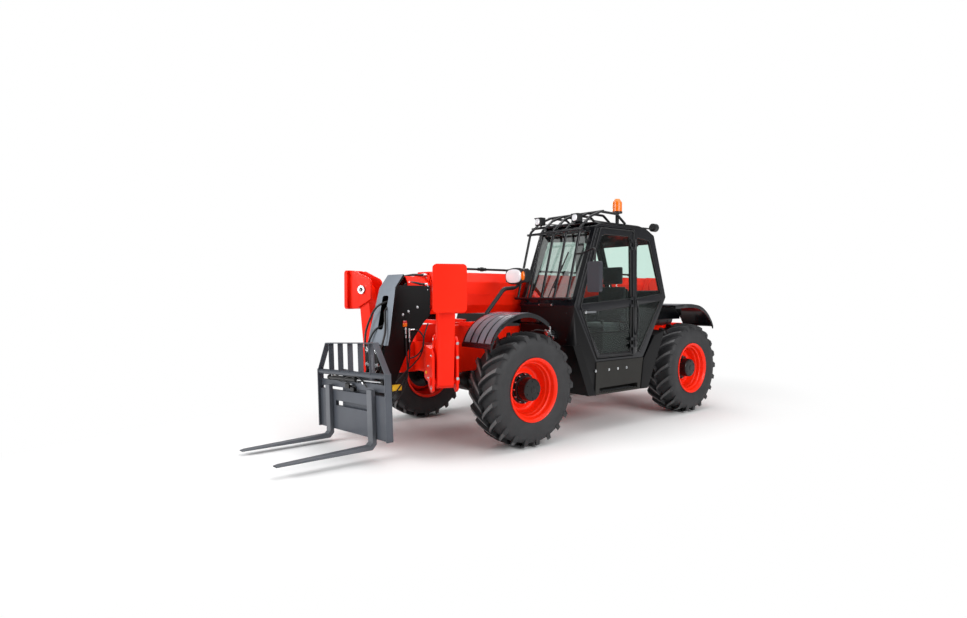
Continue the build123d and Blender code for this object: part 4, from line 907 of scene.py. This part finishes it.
for node, side in (("left_mirror", 1), ("right_mirror", -1)):
    low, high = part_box(node)
    outerEdge = high.x if side > 0 else low.x
    rear = high.y if side < 0 else -0.065
    top = 1.928 if side > 0 else 1.59
    foot = low.z + 0.01
    left, right = sorted((outerEdge - side * 0.156, outerEdge - side * 0.008))
    blocks(node + "Glass", [((left, rear - 0.0005, foot), (right, rear + 0.0015, top))], nodeBody[node],
        "mirrorGlass", 0.0)


# fenders: flat raised bands along the top, painted light grey as a painted highlight on the black fender, a
# rolled lip at each end; fittings beside the front one
bands = {"count": 4, "gap": 0.011, "lift": 0.004, "steps": 44}


def topLine(tree, x, y0, y1):
    line = []
    for i in range(bands["steps"] + 1):
        y = y0 + (y1 - y0) * i / bands["steps"]
        hit = tree.ray_cast(Vector((x, y, 3.0)), Vector((0, 0, -1)))[0]
        if hit:
            line.append(hit)
    return line


def fenderBands(node):
    mesh = frame["nodes"][node].data
    tree = BVHTree.FromPolygons([vertex.co for vertex in mesh.vertices],
        [list(face.vertices) for face in mesh.polygons])
    low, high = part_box(node)
    inner, outer = high.x - 0.455, high.x - 0.012
    wide = (outer - inner) / bands["count"]
    lift = bands["lift"]
    work = bmesh.new()
    lips = []
    for side in (-1, 1):
        line = topLine(tree, side * (inner + 0.1), low.y + 0.012, high.y - 0.012)
        for band in range(bands["count"]):
            x0 = side * (inner + band * wide + bands["gap"])
            x1 = side * (inner + (band + 1) * wide - bands["gap"])
            rows = []
            for place in line:
                rows.append([work.verts.new((x, place.y, place.z + up))
                    for x, up in ((x0, -0.003), (x0 + side * 0.004, lift), (x1 - side * 0.004, lift),
                    (x1, -0.003))])
            for first, second in zip(rows, rows[1:]):
                for k in range(3):
                    work.faces.new((first[k], first[k + 1], second[k + 1], second[k]))
            work.faces.new(rows[0])
            work.faces.new(rows[-1])
        for end in (line[0], line[-1]):
            lips.append([(side * (inner - 0.005), end.y, end.z - 0.012),
                (side * (outer + 0.005), end.y, end.z - 0.012)])
    # the bands' light grey is a painted highlight
    meshFrom(node + "Bands", work, nodeBody[node], "fenderGloss", 40.0)
    tubes(node + "Lips", 0.014, lips, nodeBody[node], "black", straight=True)


for node in ("front_fenders", "rear_fenders"):
    fenderBands(node)
drums("fenderUnions", [((0.81, -0.165, 1.14), (0.81, -0.09, 1.14), 0.042),
    ((0.81, -0.19, 1.14), (0.81, -0.165, 1.14), 0.026),
    ((0.745, -0.15, 1.165), (0.745, -0.09, 1.165), 0.024),
    ((0.85, -0.14, 1.10), (0.85, -0.09, 1.10), 0.024),
    ((0.805, -0.13, 1.17), (0.805, -0.13, 1.225), 0.013)], "chassis", "steel", 20)
tubes("fenderHoses", 0.009, [[(0.745, -0.15, 1.165), (0.70, -0.22, 1.19), (0.62, -0.25, 1.16),
    (0.50, -0.24, 1.10), (0.30, -0.25, 1.05)],
    [(0.85, -0.135, 1.10), (0.80, -0.20, 1.05), (0.66, -0.25, 1.0), (0.45, -0.26, 0.98),
    (0.30, -0.26, 0.95)]], "chassis")
boltSet("fenderBolts", [((side * 0.7085, y, 1.262), (-side, 0, 0)) for side in (-1, 1)
    for y in (-0.97, -0.565, 2.075, 2.425)], "chassis", "blackSteel", 0.009, 0.006)
print("lamps and fenders dressed")

# cab: bolts, step tread, lock and handle, wiper, roof, what shows inside
boltSet("stepBolts", [((1.1395, y, 0.714), (1, 0, 0)) for y in (0.271, 0.506, 0.67, 0.833)], "chassis",
    "steel", 0.0105, 0.007, True, 6)
treadPoints = []
for row in range(3):
    for column in range(24):
        treadPoints.append(((1.035 + 0.04 * row, 0.365 + 0.0285 * column + 0.007 * (row % 2), 0.4555),
            (0, 0, 1)))
boltSet("stepTread", treadPoints, "chassis", "castGrey", 0.0085, 0.006, False, 10, slot="black_satin")
blocks("stepTeeth", [((1.128, 0.348 + 0.0285 * i, 0.453), (1.1395, 0.362 + 0.0285 * i, 0.472))
    for i in range(24)], "chassis", "satin", 0.002, 1)
doorBody = nodeBody["cab_door"]
drums("doorLock", [((1.128, 0.10, 1.388), (1.142, 0.10, 1.388), 0.019),
    ((1.128, 0.255, 1.388), (1.142, 0.255, 1.388), 0.012)], doorBody, "steel", 24)
blocks("doorHandle", [((1.128, 0.115, 1.377), (1.145, 0.27, 1.400))], doorBody, "castGrey", 0.005, 3)
blocks("doorPull", [((1.06, 0.30, 1.42), (1.083, 0.50, 1.445))], doorBody, "plastic", 0.006)
sealX = 1.1325
tubes("doorSeal", 0.008, [[(sealX, 0.02, 1.46), (sealX, 0.345, 2.335), (sealX, 0.375, 2.352),
    (sealX, 0.955, 2.352), (sealX, 0.966, 2.34), (sealX, 0.966, 0.875), (sealX, 0.955, 0.862),
    (sealX, 0.32, 0.862), (sealX, 0.30, 0.875)]], doorBody, "seal", closed=True)
tubes("wiperArms", 0.006, [[(0.70, -0.075, 1.515), (0.71, -0.062, 1.56), (0.74, -0.01, 1.70),
    (0.80, 0.075, 1.93)]], "chassis", "plastic")
tubes("wiperBlades", 0.008, [[(0.755, -0.022, 1.66), (0.80, 0.06, 1.89), (0.84, 0.135, 2.08)]], "chassis",
    "seal")
blocks("noseBracket", [((0.60, -0.10, 1.45), (0.78, -0.078, 1.485))], "chassis", "blackSteel", 0.004)
drums("noseFittings", [((0.585, -0.09, 1.468), (0.60, -0.09, 1.468), 0.013),
    ((0.78, -0.09, 1.468), (0.80, -0.09, 1.468), 0.013)], "chassis", "steel", 18)
boltSet("noseBolts", [((x, y, z), (0, -1, 0)) for x in (0.40, 1.02)
    for y, z in ((-0.098, 1.08), (-0.0875, 1.38))], "chassis", "blackSteel", 0.009, 0.007)
tubes("cabRails", 0.011, [[(1.135, 1.02, 1.10), (1.165, 1.02, 1.13), (1.165, 1.02, 1.50),
    (1.135, 1.02, 1.53)]], "chassis", "black")
blocks("roofRibs", [((0.36, 0.50 + 0.14 * i, roofTop - 0.001), (0.98, 0.55 + 0.14 * i, roofTop + 0.007))
    for i in range(4)], "chassis", "black", 0.003)
tubes("roofCables", 0.006, [[(0.37, 0.15, 2.43), (0.36, 0.30, 2.46), (0.40, 0.50, 2.455),
    (0.60, 0.80, 2.455), (0.86, 0.93, 2.46)],
    [(0.97, 0.15, 2.43), (0.98, 0.28, 2.46), (0.95, 0.55, 2.455), (0.92, 0.88, 2.46)]], "chassis")
blocks("cabLining", [((0.34, 0.40, 0.871), (1.03, 1.10, 0.878))], "chassis", "trim", 0.0)
tubes("leverSticks", 0.008, [[(0.99, 0.62, 1.00), (0.99, 0.60, 1.15), (0.985, 0.57, 1.24)],
    [(0.42, 0.62, 0.95), (0.42, 0.60, 1.12), (0.42, 0.57, 1.20)]], "chassis", "plastic")
drums("leverKnobs", [((0.985, 0.572, 1.235), (0.982, 0.56, 1.285), 0.02),
    ((0.42, 0.572, 1.195), (0.42, 0.56, 1.245), 0.02)], "chassis", "plastic", 20, 0.4)
blocks("sideConsole", [((0.93, 0.50, 0.88), (1.045, 1.0, 1.12))], "chassis", "trim", 0.015, 3)
blocks("screen", [((0.83, 0.185, 1.49), (0.99, 0.205, 1.60))], "chassis", "plastic", 0.006)
blocks("pedals", [((x - 0.035, 0.38, 0.93), (x + 0.035, 0.395, 1.0), Matrix.Rotation(-0.5, 3, "X"))
    for x in (0.58, 0.72, 0.84)], "chassis", "castGrey", 0.004, slot="black_steel")
print("cab dressed")

# engine hood: louvres, mesh and latches; bolts on the bay, the counterweight and the frame
hoodBody = nodeBody["engine_hood"]
louvres = []
for column in range(3):
    for row in range(7):
        y = 0.10 + 0.42 * column
        z = 0.93 + 0.05 * row
        louvres.append(((-1.138, y, z), (-1.124, y + 0.34, z + 0.028), Matrix.Rotation(0.35, 3, "Y")))
blocks("hoodLouvres", louvres, hoodBody, "black", 0.003, slot="black_satin")
blocks("hoodMesh", [((-0.95, 0.25 + 0.06 * i, 1.426), (-0.45, 0.28 + 0.06 * i, 1.431)) for i in range(14)],
    hoodBody, "black", 0.002, 1, slot="black_satin")
drums("hoodLatches", [((-1.128, y, 0.86), (-1.137, y, 0.86), 0.02) for y in (0.15, 1.25)], hoodBody,
    "steel", 24)
boltSet("bayBolts", [((-1.1285, y, 0.775), (-1, 0, 0)) for y in (0.05, 0.4, 0.75, 1.1, 1.35)], "chassis",
    "blackSteel", 0.009, 0.007)
boltSet("weightBolts", [((side * x, tailY, z), (0, 1, 0)) for side in (-1, 1)
    for x, z in ((0.20, 0.60), (0.20, 1.10), (0.50, 0.62))], "chassis", "blackSteel", 0.014, 0.012)
boltSet("beamBolts", [((side * 0.246, y, z), (side, 0, 0)) for side in (-1, 1) for y in (-1.40, -1.34)
    for z in (0.80, 0.92)], "chassis", radius=0.0105, height=0.012, slot="dark_steel")

# lift cylinder's fittings, air cleaner and cooler, axle bolts
drums("liftPorts", [((-0.03, 1.42, 1.31), (-0.03, 1.42, 1.335), 0.014)], nodeBody["lift_barrel"], "steel",
    16)
tubes("liftHose", 0.009, [[(-0.03, 1.42, 1.33), (-0.03, 1.50, 1.33), (-0.04, 1.72, 1.235),
    (-0.045, 1.98, 1.09), (-0.05, 2.2, 0.975)]], nodeBody["lift_barrel"])
blocks("coolerBox", [((0.24, 1.70, 1.20), (0.56, 2.22, 1.30)), ((0.50, 1.78, 1.28), (0.66, 2.16, 1.36))],
    "chassis", "trim", 0.02, 3)
drums("airCleaner", [((0.43, 2.25, 1.225), (0.43, 2.76, 1.225), 0.082),
    ((0.43, 2.40, 1.225), (0.43, 2.425, 1.225), 0.087), ((0.43, 2.62, 1.225), (0.43, 2.645, 1.225), 0.087),
    ((0.43, 2.76, 1.225), (0.43, 2.80, 1.225), 0.055)], "chassis", "plastic", 48, 0.12)
blocks("airCleanerFeet", [((0.236, y, 1.13), (0.43, y + 0.05, 1.16)) for y in (2.35, 2.60)], "chassis",
    "blackSteel", 0.004)
drums("coolerCap", [((0.56, 1.86, 1.31), (0.69, 1.86, 1.31), 0.05)], "chassis", "castGrey", 32, 0.15)
tubes("airHoses", 0.022, [[(0.40, 1.66, 1.33), (0.55, 1.78, 1.40), (0.62, 2.02, 1.40), (0.60, 2.30, 1.33),
    (0.45, 2.55, 1.28)]], "chassis")
for end, facing in (("front", -1), ("rear", 1)):
    low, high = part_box(end + "_axle")
    middle = (low.y + high.y) / 2
    angles = [i * math.pi / 4 for i in range(8)]
    flange = circle((0, middle + facing * 0.19, 0.6), (1, 0, 0), (0, 0, 1), (0, facing, 0), 0.062, angles)
    boltSet(end + "AxleBolts", flange, "chassis", "steel", 0.007, 0.007, False)
for end in ("front", "rear"):
    for hand, side in (("left", 1), ("right", -1)):
        pin = joints[f"{end}_{hand}_steer"]["pos_m"]
        angles = [1.57 * i + 0.7 for i in range(4)]
        places = circle((pin[0], pin[1], pin[2] + 0.158), (1, 0, 0), (0, 1, 0), (0, 0, 1), 0.04, angles)
        boltSet(f"{end}_{hand}_capBolts", places, "chassis", "steel", 0.006, 0.006, False)
print("engine side and axles dressed")

# seat: each part is a stuffed pad, held along its seam while it is blown up
stuffing = {"voxel": 0.011, "frames": 16, "cap": 0.012, "shrink": 0.012}
padCloth = {"quality": 5, "mass": 0.3, "tension_stiffness": 14.0, "compression_stiffness": 14.0,
    "bending_stiffness": 1.5, "use_pressure": True, "uniform_pressure_force": 4.5}


def padParts(node):
    work = bmesh.new()
    work.from_mesh(frame["nodes"][node].data)
    bmesh.ops.remove_doubles(work, verts=work.verts, dist=weldGap)
    seen = set()
    parts = []
    for vertex in work.verts:
        if vertex.index in seen:
            continue
        group = []
        todo = [vertex]
        seen.add(vertex.index)
        while todo:
            spot = todo.pop()
            group.append(spot)
            for edge in spot.link_edges:
                other = edge.other_vert(spot)
                if other.index not in seen:
                    seen.add(other.index)
                    todo.append(other)
        parts.append([v.co.copy() for v in group])
    work.free()
    parts.sort(key=lambda points: sum(p.z for p in points) / len(points))
    return parts


def stuffedPad(name, points, body, corner):
    work = bmesh.new()
    for point in points:
        work.verts.new(point)
    bmesh.ops.convex_hull(work, input=work.verts)
    bmesh.ops.dissolve_limit(work, angle_limit=0.02, verts=work.verts, edges=work.edges)
    centre = sum(points, Vector()) / len(points)
    size = [max(p[i] for p in points) - min(p[i] for p in points) for i in range(3)]
    bmesh.ops.scale(work, vec=[(s - 2 * stuffing["shrink"]) / s for s in size],
        space=Matrix.Translation(-centre), verts=work.verts)
    bmesh.ops.bevel(work, geom=list(work.edges), offset=corner, offset_type="OFFSET", segments=3,
        profile=0.5, affect="EDGES", clamp_overlap=True)
    rough = bpy.data.meshes.new(name + "Rough")
    work.to_mesh(rough)
    work.free()
    blank = bpy.data.objects.new(name + "Rough", rough)
    scene.collection.objects.link(blank)
    voxels = blank.modifiers.new("evenGrid", "REMESH")
    voxels.mode = "VOXEL"
    voxels.voxel_size = stuffing["voxel"]
    even = bpy.data.meshes.new_from_object(blank.evaluated_get(bpy.context.evaluated_depsgraph_get()))
    blank.modifiers.clear()
    blank.data = even
    start = [vertex.co.copy() for vertex in even.vertices]
    moved = [place.copy() for place in start]
    thin = min(range(3), key=lambda i: size[i])
    seam = blank.vertex_groups.new(name="seam")
    lows = [min(p[i] for p in start) for i in range(3)]
    highs = [max(p[i] for p in start) for i in range(3)]
    for vertex in even.vertices:
        around = min(min(vertex.co[i] - lows[i], highs[i] - vertex.co[i])
            for i in range(3) if i != thin)
        middle = abs(vertex.co[thin] - (lows[thin] + highs[thin]) / 2)
        if around < stuffing["voxel"] * 0.7 and middle < stuffing["voxel"] * 0.8:
            seam.add([vertex.index], 1.0, "REPLACE")
    cloth = blank.modifiers.new("stuffing", "CLOTH")
    for setting, value in padCloth.items():
        setattr(cloth.settings, setting, value)
    cloth.settings.effector_weights.gravity = 0.0
    cloth.settings.vertex_group_mass = "seam"
    for step in range(1, stuffing["frames"] + 1):
        scene.frame_set(step)
    puffed = blank.evaluated_get(bpy.context.evaluated_depsgraph_get()).to_mesh()
    for index, vertex in enumerate(puffed.vertices):
        shift = vertex.co - start[index]
        if shift.length > stuffing["cap"]:
            shift = shift.normalized() * stuffing["cap"]
        moved[index] = start[index] + shift
    blank.modifiers.clear()
    scene.frame_set(1)
    for vertex, place in zip(even.vertices, moved):
        vertex.co = place
    bpy.data.objects.remove(blank)
    even.name = name
    even.materials.clear()
    made = joinUp(name, even, body, "fabric", 80.0)
    return made


seatParts = padParts("driver_seat")
for name, points, fill, corner in zip(("seatCushion", "seatBack", "headRest"), seatParts, (0.7, 0.7, 0.8),
        (0.025, 0.022, 0.022)):
    if name == "headRest":  # wider and a little lower than its CAD block
        middle = sum(points, Vector()) / len(points)
        points = [Vector((middle.x + 1.2 * (p.x - middle.x), p.y, middle.z + 0.94 * (p.z - middle.z)))
            for p in points]
    pad = stuffedPad(name, points, nodeBody["driver_seat"], corner)
    if name == "seatCushion":
        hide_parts("driver_seat")
tubes("headRestPosts", 0.006, [[(x, 1.14, 1.68), (x, 1.145, 1.74)] for x in (0.63, 0.74)], "chassis",
    "chrome")
blocks("seatShell", [((0.462, 1.140, 1.26), (0.908, 1.156, 1.66))], "chassis", "plastic", 0.006)
tubes("seatBelt", 0.008, [[(0.93, 1.0, 1.13), (0.935, 0.96, 1.22), (0.93, 0.93, 1.27)]], "chassis",
    "plastic")
print("seat stuffed")

# studio: a pale floor that fades into white, a white world, four lamps and the camera
floor = bpy.data.objects.new("studioFloor", bpy.data.meshes.new("studioFloor"))
scene.collection.objects.link(floor)
floor.data.from_pydata([(-60, -60, 0), (60, -60, 0), (60, 60, 0), (-60, 60, 0)], [], [(0, 1, 2, 3)])
floor.location.z = -0.0005


def floorFinish():
    made = Finish("studioFloor", Roughness=0.9, Specular_IOR_Level=0.1)
    made.shader.inputs["Base Color"].default_value = (0.9, 0.9, 0.9, 1.0)
    tree = made.tree
    glow = tree.nodes.new("ShaderNodeEmission")
    glow.inputs["Color"].default_value = (1.0, 1.0, 1.0, 1.0)
    place = made.place()
    offset = made.node("VectorMath", {"operation": "MULTIPLY"}, {0: place, 1: (0.62, 0.30, 0.0)})
    reach = made.node("VectorMath", {"operation": "LENGTH"}, {0: offset}, out="Value")
    rays = tree.nodes.new("ShaderNodeLightPath")
    direct, glossy = (Wire(made, rays.outputs[kind]) for kind in ("Is Camera Ray", "Is Glossy Ray"))
    seen = direct.maths("MAXIMUM", glossy, direct)
    return made.mixed(reach.ramped(0.95, 1.9) * seen, made.shader, glow)


floor.data.materials.append(floorFinish().material)

world = bpy.data.worlds.new("studio")
scene.world = world
world.use_nodes = True
sky = world.node_tree
ambient = sky.nodes["Background"]
backdrop = sky.nodes.new("ShaderNodeBackground")
for shader, strength in ((ambient, 0.36), (backdrop, 1.0)):
    shader.inputs["Color"].default_value = (1.0, 1.0, 1.0, 1.0)
    shader.inputs["Strength"].default_value = strength
rays = sky.nodes.new("ShaderNodeLightPath")
either = sky.nodes.new("ShaderNodeMath")
either.operation = "MAXIMUM"
sky.links.new(rays.outputs["Is Camera Ray"], either.inputs[0])
sky.links.new(rays.outputs["Is Transmission Ray"], either.inputs[1])
joined = sky.nodes.new("ShaderNodeMixShader")
sky.links.new(either.outputs[0], joined.inputs[0])
sky.links.new(ambient.outputs[0], joined.inputs[1])
sky.links.new(backdrop.outputs[0], joined.inputs[2])
sky.links.new(joined.outputs[0], sky.nodes["World Output"].inputs["Surface"])

lamps = {  # name: place, aimed at, width, depth, power
    "overhead": ((0.5, 0.5, 6.5), (0.0, 0.0, 1.0), 6.0, 8.0, 300.0),
    "keySide": ((7.5, 0.5, 3.6), (0.4, 0.4, 1.0), 5.0, 3.0, 330.0),
    "frontFill": ((-1.5, -8.5, 3.6), (0.0, -0.5, 1.0), 5.0, 3.0, 400.0),
    "farRim": ((-6.5, 3.5, 4.5), (0.0, 0.5, 1.2), 4.0, 3.0, 150.0),
}
for name, (place, aim, width, depth, power) in lamps.items():
    light = bpy.data.lights.new(name, "AREA")
    light.shape = "RECTANGLE"
    light.size = width
    light.size_y = depth
    light.energy = power
    lamp = bpy.data.objects.new(name, light)
    scene.collection.objects.link(lamp)
    lamp.location = place
    lamp.rotation_euler = (Vector(aim) - Vector(place)).to_track_quat("-Z", "Y").to_euler()

view = {"place": (5.476, -4.885, 1.575), "turn": 51.02, "dip": 1.32, "lens": 21.67, "sensor": 36.0}
lens = bpy.data.cameras.new("camera")
lens.sensor_width = view["sensor"]
lens.lens = view["lens"]
camera = bpy.data.objects.new("camera", lens)
scene.collection.objects.link(camera)
camera.location = view["place"]
camera.rotation_euler = (math.radians(90 - view["dip"]), 0.0, math.radians(view["turn"]))
scene.camera = camera
scene.view_settings.view_transform = "Standard"
print("studio set")
